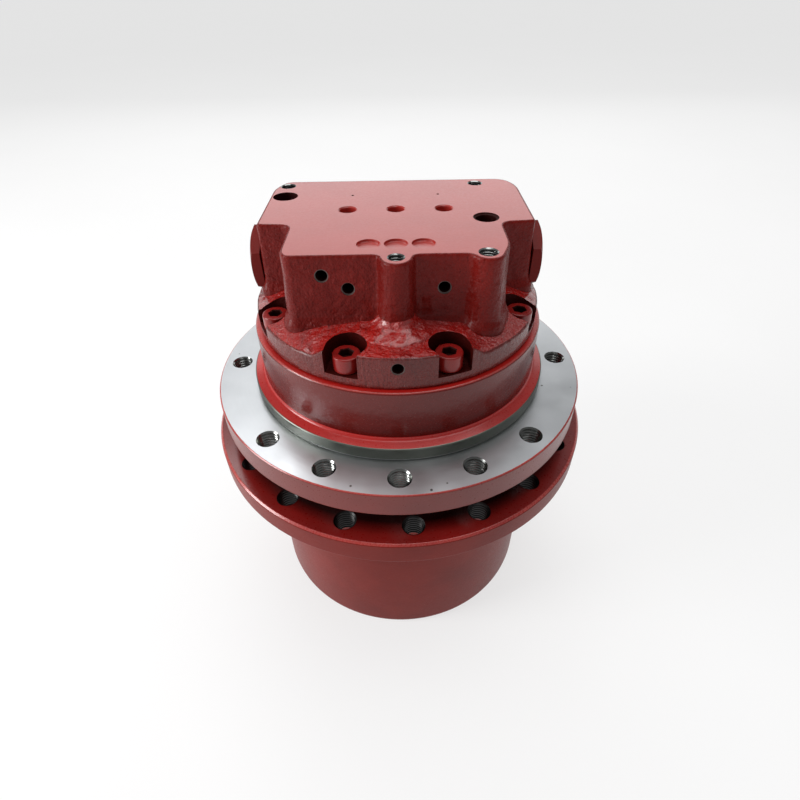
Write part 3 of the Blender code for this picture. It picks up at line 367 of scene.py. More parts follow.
def height_of(tree, place):
    parts = tree.nodes.new("ShaderNodeSeparateXYZ")
    tree.links.new(place, parts.inputs["Vector"])
    return parts.outputs["Z"]


def radius_of(tree, place):
    """Distance from the spin axis."""
    flat = tree.nodes.new("ShaderNodeVectorMath")
    flat.operation = "MULTIPLY"
    flat.inputs[1].default_value = (1.0, 1.0, 0.0)
    tree.links.new(place, flat.inputs[0])
    length = tree.nodes.new("ShaderNodeVectorMath")
    length.operation = "LENGTH"
    tree.links.new(flat.outputs["Vector"], length.inputs[0])
    return length.outputs["Value"]


def blend_between(tree, value, zone, colour):
    """zone is (low, high, shade colour): a painted shade of that colour below low, and the other colour above
    high.
    """
    low, high, shade_colour = zone
    step = tree.nodes.new("ShaderNodeMapRange")
    step.inputs["From Min"].default_value = low * MM
    step.inputs["From Max"].default_value = high * MM
    tree.links.new(value, step.inputs["Value"])
    return mix(tree, step.outputs["Result"], shade_colour, colour)


def painted(name, deep, light, grain, gloss, rough=(0.3, 0.5), shine=0.5, swell=0.0, streak=0.0,
            foot=None, inner_shade=None, polish=0.16):
    """Paint that varies between a deep and a light colour.

    grain, swell and streak are the heights of its fine, coarse and upright texture in millimetres.
    gloss is the weight of a clear coat and polish is that coat's roughness.
    foot is (low, high, colour): a painted shade of that colour below the lower level. inner_shade is the same
    by radius: a painted shade of that colour inside the lower radius.
    """
    material, tree, shader, place = new_material(name)
    blotch = noise_node(tree, place, scale=28.0, detail=4.0)
    colour = ramp(tree, blotch, ((0.3, deep), (0.7, light)))
    specks = noise_node(tree, place, scale=900.0, detail=3.0, rough=0.6)
    colour = mix(tree, ramp(tree, specks, ((0.66, 0.0), (0.78, 0.18))), colour, SPECK_COLOUR)
    if foot:
        colour = blend_between(tree, height_of(tree, place), foot, colour)
    if inner_shade:
        colour = blend_between(tree, radius_of(tree, place), inner_shade, colour)
    tree.links.new(colour, shader.inputs["Base Color"])
    tree.links.new(ramp(tree, specks, ((0.3, rough[0]), (0.7, rough[1]))), shader.inputs["Roughness"])
    shader.inputs["Specular IOR Level"].default_value = shine
    shader.inputs["Coat Weight"].default_value = gloss
    shader.inputs["Coat Roughness"].default_value = polish
    normal = bump(tree, shader, noise_node(tree, place, scale=430.0, detail=4.0, rough=0.6), grain)
    fine = noise_node(tree, place, scale=1500.0, detail=2.0, rough=0.5)
    normal = bump(tree, shader, fine, grain * 0.3, normal)
    if swell:
        coarse = noise_node(tree, place, scale=110.0, detail=3.0, rough=0.6)
        normal = bump(tree, shader, coarse, swell, normal)
    if streak:
        upright = noise_node(tree, place, scale=520.0, detail=3.0, rough=0.6, stretch=(1.0, 1.0, 0.14))
        bump(tree, shader, upright, streak, normal)
    return material


def pits(tree, place):
    """Small dark dots in a few of the cells of a scattered grid."""
    cells = tree.nodes.new("ShaderNodeTexVoronoi")
    cells.inputs["Scale"].default_value = 130.0
    tree.links.new(place, cells.inputs["Vector"])
    near = ramp(tree, cells.outputs["Distance"], ((0.07, 1.0), (0.11, 0.0)))
    split = tree.nodes.new("ShaderNodeSeparateColor")
    tree.links.new(cells.outputs["Color"], split.inputs["Color"])
    chosen = ramp(tree, split.outputs["Red"], ((0.8, 0.0), (0.82, 1.0)))
    return mix(tree, near, (0.0, 0.0, 0.0), chosen)


def machined(name, dark, light, roughness, turned=True, scratch=0.05):
    """Bare metal with dull patches, pits and tool marks that run round the axis where it is turned."""
    material, tree, shader, place = new_material(name)
    patches = noise_node(tree, place, scale=22.0, detail=5.0, rough=0.6)
    colour = ramp(tree, patches, ((0.3, dark), (0.68, light)))
    colour = mix(tree, pits(tree, place), colour, PIT_COLOUR)
    tree.links.new(colour, shader.inputs["Base Color"])
    shader.inputs["Metallic"].default_value = 1.0
    dull = noise_node(tree, place, scale=60.0, detail=4.0)
    grade = ramp(tree, dull, ((0.3, roughness), (0.7, roughness + 0.08)))
    tree.links.new(grade, shader.inputs["Roughness"])
    if turned:
        radial = tree.nodes.new("ShaderNodeCombineXYZ")
        tree.links.new(radius_of(tree, place), radial.inputs["X"])
        tree.links.new(height_of(tree, place), radial.inputs["Y"])
        marks = noise_node(tree, radial.outputs["Vector"], scale=600.0, detail=1.0, rough=0.5)
    else:
        marks = noise_node(tree, place, scale=700.0, detail=3.0)
    bump(tree, shader, marks, scratch)
    return material


def rubber(name):
    material, tree, shader, place = new_material(name)
    blotch = noise_node(tree, place, scale=200.0)
    colour = ramp(tree, blotch, ((0.3, (0.012, 0.012, 0.013)), (0.7, (0.03, 0.03, 0.032))))
    tree.links.new(colour, shader.inputs["Base Color"])
    shader.inputs["Roughness"].default_value = 0.55
    bump(tree, shader, noise_node(tree, place, scale=1200.0, detail=3.0), 0.04)
    return material


CAST_PAINT = painted(
    "cast_paint", (0.12, 0.005, 0.0035), (0.2, 0.01, 0.007), grain=0.8, gloss=0.12,
    rough=(0.22, 0.36), shine=0.1, swell=2.2, streak=0.3, polish=0.12)
# A lit copy of the walls' red paint, lighter: painted light on the upward base top and the boss's foot
LIT_ROUGH_PAINT = painted(
    "lit_rough_cast_paint", (0.25, 0.005, 0.004), (0.42, 0.012, 0.008), grain=0.7, gloss=0.8,
    rough=(0.16, 0.3), shine=0.6, swell=3.4, polish=0.08)
DISC_PAINT = painted(
    "disc_side_paint", (0.1, 0.006, 0.004), (0.17, 0.012, 0.009), grain=0.8, gloss=0.35,
    rough=(0.2, 0.34), shine=0.3, swell=1.6, streak=1.0, polish=0.12)
SCREW_PAINT = painted(
    "screw_paint", (0.2, 0.006, 0.005), (0.28, 0.01, 0.008), grain=0.15, gloss=0.4,
    rough=(0.25, 0.4), shine=0.25)
# A lit copy of the walls' red paint, much lighter: painted light on the block's top and inside its recesses
LIT_SMOOTH_PAINT = painted(
    "lit_smooth_paint", (0.37, 0.022, 0.015), (0.43, 0.028, 0.02), grain=0.04, gloss=0.58, rough=(0.3, 0.4))
TURNED_PAINT = painted(
    "turned_paint", (0.15, 0.012, 0.008), (0.2, 0.018, 0.013), grain=0.05, gloss=0.2,
    rough=(0.26, 0.38), shine=0.35)
HUB_PAINT = painted(
    "hub_paint", (0.16, 0.01, 0.006), (0.22, 0.016, 0.01), grain=0.06, gloss=0.0,
    rough=(0.3, 0.42), shine=0.13)
# A lit copy of the case's red paint, much lighter: painted light on the upward ledge
LIT_LEDGE_PAINT = painted(
    "lit_ledge_paint", (0.42, 0.008, 0.006), (0.55, 0.014, 0.01), grain=0.05, gloss=0.5,
    rough=(0.25, 0.38), shine=0.4)
# A lighter, pinker copy of the red paint on real chamfers: a painted highlight on the flanges' and the case's
# edges
EDGE_HIGHLIGHT = painted(
    "edge_highlight_paint", (0.36, 0.03, 0.026), (0.5, 0.06, 0.05), grain=0.1, gloss=0.6, rough=(0.22, 0.34))
# case_paint turns near-black below 168.5 mm, blending out by 177 mm: a painted shade where the case meets its
# ledge
CASE_PAINT = painted(
    "case_paint", (0.12, 0.008, 0.006), (0.16, 0.013, 0.01), grain=0.05, gloss=0.35,
    rough=(0.2, 0.3), shine=0.22, swell=0.5, foot=(168.5, 177.0, (0.08, 0.003, 0.002)))
# Near-black paint in the screw pockets and their mouths: painted shade in the hollows
POCKET_SHADE = painted(
    "pocket_shade_paint", (0.03, 0.002, 0.0015), (0.055, 0.004, 0.003), grain=0.4, gloss=0.0,
    rough=(0.3, 0.45), shine=0.1)
CAP_PAINT = painted(
    "cap_paint", (0.13, 0.006, 0.004), (0.19, 0.01, 0.007), grain=0.1, gloss=0.0,
    rough=(0.3, 0.42), shine=0.12)
# gap_paint turns near-black inside a radius of 100 mm, blending out by 108 mm: a painted shadow under the
# frame flange
GAP_PAINT = painted(
    "gap_paint", (0.18, 0.007, 0.005), (0.28, 0.01, 0.008), grain=0.05, gloss=1.0,
    rough=(0.26, 0.36), shine=0.4, inner_shade=(100.0, 108.0, (0.015, 0.001, 0.0008)))
# Near-black paint in the holes and the screws' key holes: painted shade in the hollows
HOLE_SHADE = painted(
    "hole_shade_paint", (0.018, 0.002, 0.0015), (0.035, 0.004, 0.003), grain=0.1, gloss=0.0,
    rough=(0.5, 0.7), shine=0.1)
RING_MARK = painted("spot_face_ring", (0.06, 0.035, 0.03), (0.12, 0.08, 0.07), grain=0.1, gloss=0.1)
LINING = painted(
    "sintered_lining", (0.06, 0.045, 0.03), (0.12, 0.09, 0.06), grain=0.2, gloss=0.0, rough=(0.7, 0.85))

FACED_STEEL = machined("faced_steel", (0.54, 0.56, 0.58), (0.62, 0.64, 0.66), 0.3, scratch=0.02)
OLIVE_STEEL = machined("oiled_spigot", (0.13, 0.14, 0.12), (0.24, 0.25, 0.22), 0.3)
GROUND_STEEL = machined("ground_finish", (0.5, 0.51, 0.52), (0.66, 0.67, 0.68), 0.22)
# Near-black steel for the sprocket flange's threads: painted shade under the frame flange
SHADED_GAP_THREAD = machined("shaded_gap_thread_steel", (0.02, 0.02, 0.02), (0.07, 0.07, 0.07), 0.3, turned=False)
THREAD_STEEL = machined("thread_steel", (0.14, 0.145, 0.14), (0.42, 0.43, 0.42), 0.14, turned=False)
GEAR_STEEL = machined("gear_finish", (0.34, 0.32, 0.3), (0.48, 0.46, 0.43), 0.3, turned=False)
DARK_STEEL = machined("dark_finish", (0.07, 0.07, 0.075), (0.14, 0.14, 0.15), 0.38, turned=False)
BRONZE = machined("bronze_finish", (0.5, 0.33, 0.14), (0.7, 0.5, 0.24), 0.28, turned=False)
RUBBER = rubber("moulded_rubber")

SLOT_LOOKS = {
    "painted_casting": CAST_PAINT,
    "ground_steel": GROUND_STEEL,
    "gear_steel": GEAR_STEEL,
    "dark_steel": DARK_STEEL,
    "bronze": BRONZE,
    "friction_lining": LINING,
    "seal_rubber": RUBBER,
}


def dress_nodes():
    """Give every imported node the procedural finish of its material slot."""
    for part in frame["record"]["subparts"]:
        obj = frame["nodes"][part["node"]]
        look = SLOT_LOOKS[part["material_slot"]]
        if not obj.material_slots:
            obj.data.materials.append(look)
        for material_slot in obj.material_slots:
            material_slot.material = look


# Mesh helpers

def at(x, y, z=0.0):
    return Matrix.Translation((x * MM, y * MM, z * MM))


def finished(name, bm):
    """The mesh of a bmesh, which is freed."""
    mesh = bpy.data.meshes.new(name)
    bm.to_mesh(mesh)
    bm.free()
    return mesh


def add_object(name, mesh, materials):
    for material in materials:
        mesh.materials.append(material)
    obj = bpy.data.objects.new(name, mesh)
    bpy.context.scene.collection.objects.link(obj)
    return obj


def rounded(profile, steps=4):
    """Points (radius, z, finish), with each corner of (radius, z, fillet, finish) made a short curve."""
    result = []
    count = len(profile)
    for i, (radius, z, fillet, finish) in enumerate(profile):
        corner = Vector((radius, z))
        before = Vector(profile[i - 1][:2]) - corner
        after = Vector(profile[(i + 1) % count][:2]) - corner
        if fillet <= 0:
            result.append((radius, z, finish))
            continue
        start = corner + before.normalized() * min(fillet, before.length / 2)
        end = corner + after.normalized() * min(fillet, after.length / 2)
        for step in range(steps + 1):
            t = step / steps
            point = start * (1 - t) ** 2 + corner * 2 * t * (1 - t) + end * t ** 2
            result.append((point.x, point.y, finish))
    return result


def turned_mesh(name, profile, sides):
    """A closed ring or, where the profile touches the axis, a solid, turned about Z."""
    points = rounded(profile)
    bm = bmesh.new()
    rings = []
    for radius, z, finish in points:
        if radius < ON_AXIS:
            rings.append([bm.verts.new((0, 0, z * MM))])
            continue
        loop = []
        for i in range(sides):
            turn = math.tau * i / sides
            loop.append(bm.verts.new((radius * math.cos(turn) * MM, radius * math.sin(turn) * MM, z * MM)))
        rings.append(loop)
    closed = points[0][0] > ON_AXIS
    for i in range(len(points) if closed else len(points) - 1):
        lower, upper = rings[i], rings[(i + 1) % len(points)]
        for j in range(sides):
            around = ((lower, j), (lower, j + 1), (upper, j + 1), (upper, j))
            unique = list(dict.fromkeys(ring[k % len(ring)] for ring, k in around))
            if len(unique) < 3:
                continue
            face = bm.faces.new(unique)
            face.material_index = points[i][2]
    bmesh.ops.recalc_face_normals(bm, faces=bm.faces)
    return finished(name, bm)


def revolve(name, profile, materials, sides=FINE):
    return add_object(name, turned_mesh(name, profile, sides), materials)


def sharp(*points, finish=0):
    """A profile without fillets from (radius, z) points."""
    return [(radius, z, 0, finish) for radius, z in points]


def plug_profile(radius, low, high):
    return sharp((0, low), (radius, low), (radius, high), (0, high))


def groove(z, core, outer, pitch):
    start, root, end = GROOVE
    return [(core, z + pitch * start), (outer, z + pitch * root), (core, z + pitch * end)]


def thread_mouth(high, core, wide, mouth):
    """The upper end of a thread cutter, with a chamfer as high as its mouth."""
    return [(core, high - mouth), (wide, high + MOUTH_RISE), (wide, high + OVERLAP), (0, high + OVERLAP)]


def flange_thread(low, high, mouth):
    """A cutter for an M12 hole through a flange, with a chamfered mouth at each end."""
    wide = M12_R + FLANGE_MOUTH_CLEAR
    points = [(0, low - OVERLAP), (wide, low - OVERLAP), (wide, low - MOUTH_RISE), (M12_CORE_R, low + mouth)]
    z = low + mouth
    while z + M12_PITCH < high - mouth:
        points += [(M12_CORE_R, z)] + groove(z, M12_CORE_R, M12_R, M12_PITCH)
        z += M12_PITCH
    return sharp(*points, *thread_mouth(high, M12_CORE_R, wide, mouth))


def blind_thread(depth, high, core, outer, pitch, mouth):
    """A cutter for a threaded hole of some depth, with a drill's cone below it."""
    points = [(0, high - depth - DRILL_CONE), (core, high - depth)]
    z = high - depth
    while z + pitch < high - mouth:
        points += groove(z, core, outer, pitch)
        z += pitch
    return sharp(*points, *thread_mouth(high, core, outer + BLIND_MOUTH_CLEAR, mouth))


def ring_of(profile, angles, radius, sides=HOLE_SIDES):
    """Items of a cutter: the same cut at several angles from the front."""
    return [(profile, at(*from_front(angle, radius)), sides) for angle in angles]


def cutter(name, items, *materials):
    """One cutter joined from (profile, matrix, sides) items."""
    bm = bmesh.new()
    for profile, matrix, sides in items:
        mesh = turned_mesh(name, profile, sides)
        mesh.transform(matrix)
        bm.from_mesh(mesh)
        bpy.data.meshes.remove(mesh)
    bmesh.ops.recalc_face_normals(bm, faces=bm.faces)
    return add_object(name, finished(name, bm), materials)


def apply_modifier(obj, modifier):
    bpy.context.view_layer.objects.active = obj
    bpy.ops.object.modifier_apply(modifier=modifier.name)


def combine(obj, tool, operation="DIFFERENCE"):
    """Apply a Boolean with the tool's own finish on the faces that it makes, and drop the tool."""
    modifier = obj.modifiers.new(operation.lower(), "BOOLEAN")
    modifier.operation = operation
    modifier.solver = "EXACT"
    modifier.material_mode = "TRANSFER"
    modifier.object = tool
    apply_modifier(obj, modifier)
    mesh = tool.data
    bpy.data.objects.remove(tool, do_unlink=True)
    bpy.data.meshes.remove(mesh)


def settle(obj, node, body):
    """Shade a finished piece with even flat faces, and let it stand for its node."""
    obj.data.shade_smooth()
    obj.data.set_sharp_from_angle(angle=SHARP_ANGLE)
    modifier = obj.modifiers.new("flat_faces", "WEIGHTED_NORMAL")
    modifier.mode = "FACE_AREA"
    modifier.keep_sharp = True
    apply_modifier(obj, modifier)
    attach(obj, body)
    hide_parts(node)


# Hub and motor case

def hub_housing():
    """The hub with its sprocket flange; its profile runs down the outside and up the bore."""
    paint, steel, top, edge = range(4)
    profile = (
        (HUB_COLLAR_R, SEAL_FACE_Z, 0.8, top),
        (HUB_COLLAR_R, HUB_FLANGE_TOP, 1.6, top),
        (HUB_FLANGE_R - EDGE_W, HUB_FLANGE_TOP, 0.3, edge),
        (HUB_FLANGE_R, HUB_FLANGE_TOP - EDGE_W, 0.3, paint),
        (HUB_FLANGE_R, HUB_FLANGE_Z, 1.0, paint),
        (HUB_R, HUB_FLANGE_Z, 1.5, paint),
        (HUB_R, HUB_SPLIT_Z, 0, paint),
        (HUB_R, HUB_Z, 4.2, paint),
        (HUB_BORE_R, HUB_Z, 0.8, steel),
        (HUB_BORE_R, WIRE_Z, 0, steel),
        (WIRE_GROOVE_R, WIRE_Z, 0.4, steel),
        (WIRE_GROOVE_R, WIRE_TOP, 0.4, steel),
        (HUB_BORE_R, WIRE_TOP, 0, steel),
        (HUB_BORE_R, WEB_Z, 0, steel),
        (WEB_R, WEB_Z, 0.3, steel),
        (WEB_R, WEB_TOP, 0.3, steel),
        (HUB_BORE_R, WEB_TOP, 0, steel),
        (HUB_BORE_R, SEAL_CONE_Z, 0, steel),
        (SEAL_BORE_R, SEAL_FLOOR_Z, 0, steel),
        (SEAL_BORE_R, SEAL_FACE_Z, 0.4, steel),
    )
    # the flange top takes gap_paint with its painted shadow under the frame flange, and its edge a painted
    # highlight
    hub = revolve("hub_shell", profile, (HUB_PAINT, GROUND_STEEL, GAP_PAINT, EDGE_HIGHLIGHT))
    thread = flange_thread(HUB_FLANGE_Z, HUB_FLANGE_TOP, HUB_THREAD_MOUTH)
    angles = [SPROCKET_BOLT_PHASE + 360 * i / SPROCKET_BOLTS for i in range(SPROCKET_BOLTS)]
    # the sprocket threads are near-black, a painted shadow under the frame flange
    combine(hub, cutter("sprocket_threads", ring_of(thread, angles, SPROCKET_BOLT_R), SHADED_GAP_THREAD))
    settle(hub, "hub_housing", "hub")


def motor_case():
    """The case with its frame flange and the spindle; its profile runs down the outside and up the bore."""
    paint, faced, olive, inside, ledge, edge, side = range(7)
    profile = (
        (CASE_R - BEAD_W, CASE_TOP, 0.4, edge),
        (CASE_R, CASE_TOP - BEAD_W, 0.5, paint),
        (CASE_R, LEDGE_TOP, 1.6, ledge),
        (SPIGOT_R, SPIGOT_TOP + 0.6, 0.6, olive),
        (SPIGOT_R, FRAME_TOP + 0.9, 0.3, olive),
        (SPIGOT_R - SPIGOT_GROOVE, FRAME_TOP + 0.6, 0.2, olive),
        (SPIGOT_R - SPIGOT_GROOVE, FRAME_TOP, 0.2, faced),
        (FRAME_FLANGE_R - EDGE_W / 2, FRAME_TOP, 0.2, edge),
        (FRAME_FLANGE_R, FRAME_TOP - EDGE_W / 2, 0.2, side),
        (FRAME_FLANGE_R, FRAME_Z, 0.9, side),
        (SKIRT_R, FRAME_Z, 1.2, paint),
        (SKIRT_R, SKIRT_Z, 0.5, paint),
        (SEAL_BORE_R, SKIRT_Z, 0.3, inside),
        (SEAL_BORE_R, SEAL_ROOF_Z, 0.3, inside),
        (SPINDLE_ROOT_R, SEAL_ROOF_Z, 0.5, inside),
        (SPINDLE_ROOT_R, SHOULDER_Z, 0.3, inside),
        (SPINDLE_R, SHOULDER_Z, 0.3, inside),
        (SPINDLE_R, SPINDLE_Z, 0.8, inside),
        (SPINDLE_BORE_R, SPINDLE_Z, 0.5, inside),
        (SPINDLE_BORE_R, OIL_SEAL_Z, 0, inside),
        (OIL_SEAL_R, OIL_SEAL_Z, 0, inside),
        (OIL_SEAL_R, SHAFT_BEARING_Z, 0, inside),
        (SHAFT_BEARING_R, SHAFT_BEARING_Z, 0, inside),
        (SHAFT_BEARING_R, SWASH_Z, 0, inside),
        (SWASH_BORE_R, SWASH_Z, 0.8, inside),
        (SWASH_BORE_R, CASE_FLOOR_Z, 0.4, inside),
        (CASE_BORE_R, CASE_FLOOR_Z, 0.4, inside),
        (CASE_BORE_R, CASE_TOP, 0.4, ledge),
    )
    # the ledge takes a lighter lit copy of the paint and the bead and the flange's edge a painted highlight
    case = revolve(
        "case_shell", profile,
        (CASE_PAINT, FACED_STEEL, OLIVE_STEEL, GROUND_STEEL, LIT_LEDGE_PAINT, EDGE_HIGHLIGHT, TURNED_PAINT))
    thread = flange_thread(FRAME_Z, FRAME_TOP, CASE_THREAD_MOUTH)
    shank_hole = plug_profile(SHANK_HOLE_R, SCREW_LOW - 1.5, CASE_TOP + OVERLAP)
    pin_hole = plug_profile(PIN_HOLE_R, SPINDLE_Z - OVERLAP, SPINDLE_Z + PIN_HOLE_DEPTH)
    items = ring_of(thread, FRAME_BOLT_ANGLES, FRAME_BOLT_R)
    items += ring_of(shank_hole, SCREW_ANGLES, SCREW_CIRCLE_R)
    items += ring_of(pin_hole, PIN_ANGLES, PIN_CIRCLE_R)
    combine(case, cutter("case_threads", items, THREAD_STEEL))
    settle(case, "motor_case", "root")


# Port block

ALONG_Y = Matrix.Rotation(math.radians(-90), 4, "X")


def spool_axis(side):
    """Turns Z onto the spool's axis, outwards to the left (-1) or to the right (1)."""
    return at(0, SPOOL_Y, SPOOL_Z) @ Matrix.Rotation(math.radians(90 * side), 4, "Y")


def arc(centre, radius, start, end, count):
    """Corners without fillets along an arc whose angles start at +X."""
    points = []
    for i in range(count + 1):
        turn = math.radians(start + (end - start) * i / count)
        points.append((centre[0] + radius * math.cos(turn), centre[1] + radius * math.sin(turn), 0.0))
    return points


def block_outline():
    """Corners (x, y, fillet) of the block seen from above, counter-clockwise from the back left."""
    left = [
        (-BACK_CORNER_X, BACK_Y, 5.0), (-EAR_X, EAR_BACK_Y, 5.0), (-EAR_X, EAR_FRONT_Y, 2.2),
        (-NOTCH_X, NOTCH_Y, 5.0), (-NOTCH_X, FRONT_Y + 5, 3.0), (-FRONT_CORNER_X, FRONT_Y, 3.0)]
    shoulder = [(FRONT_BOSS[0] - EDGE_BOSS_R - 1.0, FRONT_Y, 3.5)]
    shoulder += arc(FRONT_BOSS, EDGE_BOSS_R, 190, 350, 14)
    shoulder += [(FRONT_BOSS[0] + EDGE_BOSS_R + 1.0, FRONT_Y, 3.5)]
    corner = [(CORNER_BOSS[0] - EDGE_BOSS_R - 1.5, FRONT_Y, 2.5)]
    corner += arc(CORNER_BOSS, EDGE_BOSS_R, 205, 340, 12)
    right = [
        (NOTCH_X, FRONT_Y + 10, 6.0), (NOTCH_X, NOTCH_Y, 5.0), (EAR_X, EAR_FRONT_Y, 2.2),
        (EAR_X, EAR_BACK_Y, 6.0), (BACK_CORNER_X, BACK_Y, 8.0)]
    return left + shoulder + corner + right


def dense_outline(corners):
    """Rounded corners and even spacing along the outline."""
    curve = [(x, y) for x, y, finish in rounded([(x, y, fillet, 0) for x, y, fillet in corners], 5)]
    points = []
    for i, (x, y) in enumerate(curve):
        nx, ny = curve[(i + 1) % len(curve)]
        length = math.hypot(nx - x, ny - y)
        if length < OUTLINE_GAP:
            continue
        count = max(1, round(length / OUTLINE_STEP))
        points += [(x + (nx - x) * j / count, y + (ny - y) * j / count) for j in range(count)]
    return points


def outward(points):
    """Unit normals of a counter-clockwise outline."""
    normals = []
    for i in range(len(points)):
        px, py = points[i - 1]
        nx, ny = points[(i + 1) % len(points)]
        normals.append(Vector((ny - py, px - nx)).normalized())
    return normals


def casting_wave(place, coarse, fine, share):
    """Noise of two sizes, for the uneven skin of a casting."""
    return noise.noise(place / coarse) + share * noise.noise(place / fine)


def block_body():
    """The cast body: loops of its outline, with a foot fillet, wavy walls and a broken top edge."""
    outline = dense_outline(block_outline())
    normals = outward(outline)
    bm = bmesh.new()
    loops = []
    for z, offset, wave in BLOCK_LEVELS:
        loop = []
        for (x, y), normal in zip(outline, normals):
            reach = offset + wave * casting_wave(Vector((x, y, z)), 9.0, 3.5, 0.5)
            loop.append(bm.verts.new(((x + normal.x * reach) * MM, (y + normal.y * reach) * MM, z * MM)))
        loops.append(loop)
    count = len(outline)
    for lower, upper in zip(loops, loops[1:]):
        for j in range(count):
            k = (j + 1) % count
            bm.faces.new((lower[j], lower[k], upper[k], upper[j]))
    bm.faces.new(list(reversed(loops[0])))
    top = bm.faces.new(loops[-1])
    # the top takes the lighter lit copy of the paint, painted light on the upward face
    top.material_index = 1
    return add_object("block_shell", finished("block_shell", bm), (CAST_PAINT, LIT_SMOOTH_PAINT))


def base_disc():
    """The round base with a rough cast top and its boss inside the motor case.

    Its rim is lower than its middle, but not at the front, where a pad stands at the full height.
    """
    rough, side, inside = range(3)
    profile = [
        (0, BASE_TOP + BASE_CROWN_RISE, 0, rough),
        (BASE_CROWN_R, BASE_TOP + BASE_CROWN_RISE, 1.5, rough),
        (BASE_SLOPE_R, BASE_TOP, 0, rough),
    ]
    for i in range(1, RIM_STEPS):
        share = i / RIM_STEPS
        radius = BASE_SLOPE_R + (BASE_R - BASE_SLOPE_R) * share
        profile.append((radius, BASE_TOP - RIM_DROP * share, 0, rough))
    profile += [
        (BASE_R, BASE_TOP - RIM_DROP, 1.3, side),
        (BASE_R, BASE_Z, 0.8, side),
        (CASE_BORE_R + 3.0, BASE_Z, 0, inside),
        (BOSS_R, BASE_Z, 0.5, inside),
        (BOSS_R, BOSS_Z, 0.8, inside),
        (0, BOSS_Z, 0, inside),
    ]
    base = revolve("base_shell", profile, (LIT_ROUGH_PAINT, DISC_PAINT, GROUND_STEEL), BASE_SIDES)
    for vertex in base.data.vertices:
        place = vertex.co / MM
        radius = math.hypot(place.x, place.y)
        if place.z < BASE_Z + 2.0 or radius < BASE_CROWN_R:
            continue
        wave = casting_wave(place, 7.0, 2.8, 0.7)
        angle = abs(math.degrees(math.atan2(place.x, -place.y)))
        pad = clamped((FRONT_PAD_ANGLE + PAD_BLEND / 2 - angle) / PAD_BLEND)
        reach = clamped((radius - BASE_SLOPE_R) / (BASE_R - BASE_SLOPE_R))
        height = BASE_TOP_WAVE if radius < BASE_R - 0.5 else BASE_SIDE_WAVE
        place.z += pad * RIM_DROP * reach + height * wave
        spread = 1 + BASE_SPREAD * wave * reach
        vertex.co = Vector((place.x * spread, place.y * spread, place.z)) * MM
    return base


def boss_foot():
    """The rough flare that carries the front boss down to the base."""
    low = BASE_TOP - 2.0
    high = BASE_TOP + FRONT_FOOT_H
    profile = (
        (0, low, 0, 0),
        (FRONT_FOOT_R + 1.5, low, 0, 0),
        (FRONT_FOOT_R, BASE_TOP + 0.6, 2.5, 0),
        (FRONT_FOOT_R * 0.75, BASE_TOP + 1.8, 4.0, 0),
        (EDGE_BOSS_R + 2.6, BASE_TOP + 3.0, 4.0, 0),
        (EDGE_BOSS_R + 0.5, high - 2.0, 1.5, 0),
        (EDGE_BOSS_R - 1.5, high, 0, 0),
        (0, high, 0, 0),
    )
    foot = revolve("front_boss_foot", profile, (LIT_ROUGH_PAINT,), FOOT_SIDES)
    for vertex in foot.data.vertices:
        place = vertex.co / MM
        if low + 0.5 < place.z < high - 2.5:
            wave = casting_wave(place, 5.0, 2.2, 0.7)
            spread = 1 + FOOT_SPREAD * wave
            vertex.co = Vector((place.x * spread, place.y * spread, place.z + FOOT_WAVE * wave)) * MM
    foot.data.transform(at(*FRONT_BOSS))
    return foot


def pockets():
    """Round pockets for the screws, rounded at their floor and roof."""
    pocket = (
        (0, SCREW_SEAT_Z, 0, 0), (POCKET_R, SCREW_SEAT_Z, 1.2, 0), (POCKET_R, POCKET_TOP, 3.0, 0),
        (0, POCKET_TOP, 0, 0))
    return cutter("pockets", ring_of(pocket, SCREW_ANGLES, SCREW_CIRCLE_R, ROUND_SIDES), POCKET_SHADE)


def pocket_mouths():
    """Boxes that open the screw pockets through the rim of the base."""
    bm = bmesh.new()
    reach = BASE_R + OVERLAP - SCREW_CIRCLE_R
    height = POCKET_TOP - SCREW_SEAT_Z
    for angle in SCREW_ANGLES:
        turn = Matrix.Rotation(math.radians(angle), 4, "Z")
        middle = at(0, -(SCREW_CIRCLE_R + reach / 2), SCREW_SEAT_Z + height / 2)
        size = Matrix.Diagonal((POCKET_MOUTH_W * MM, reach * MM, height * MM, 1))
        bmesh.ops.create_cube(bm, size=1, matrix=turn @ middle @ size)
    return add_object("pocket_mouths", finished("pocket_mouths", bm), (POCKET_SHADE,))


def block_threads():
    """The screws' holes, the threads in the top and the two main ports in the back."""
    shank_hole = plug_profile(SHANK_HOLE_R, BASE_Z - OVERLAP, SCREW_SEAT_Z + 1.0)
    items = ring_of(shank_hole, SCREW_ANGLES, SCREW_CIRCLE_R)
    for x, y, radius, depth in TOP_THREADS:
        thread = blind_thread(
            depth, BLOCK_TOP, radius - TOP_THREAD_H, radius, TOP_THREAD_PITCH, TOP_THREAD_MOUTH)
        items.append((thread, at(x, y), HOLE_SIDES))
    port = blind_thread(PORT_DEPTH, 0.0, PORT_CORE_R, PORT_THREAD_R, PORT_PITCH, PORT_MOUTH)
    for side in (-1, 1):
        items.append((port, at(side * PORT_X, BACK_Y, PORT_Z) @ ALONG_Y, ROUND_SIDES))
    return cutter("block_threads", items, THREAD_STEEL)


def top_cut(mouth, *points):
    """A cutter through the top face: (radius, depth) points from the bottom up, and its mouth's radius."""
    walls = [(radius, BLOCK_TOP - depth) for radius, depth in points]
    return sharp(*walls, (mouth, BLOCK_TOP + OVERLAP), (0, BLOCK_TOP + OVERLAP))


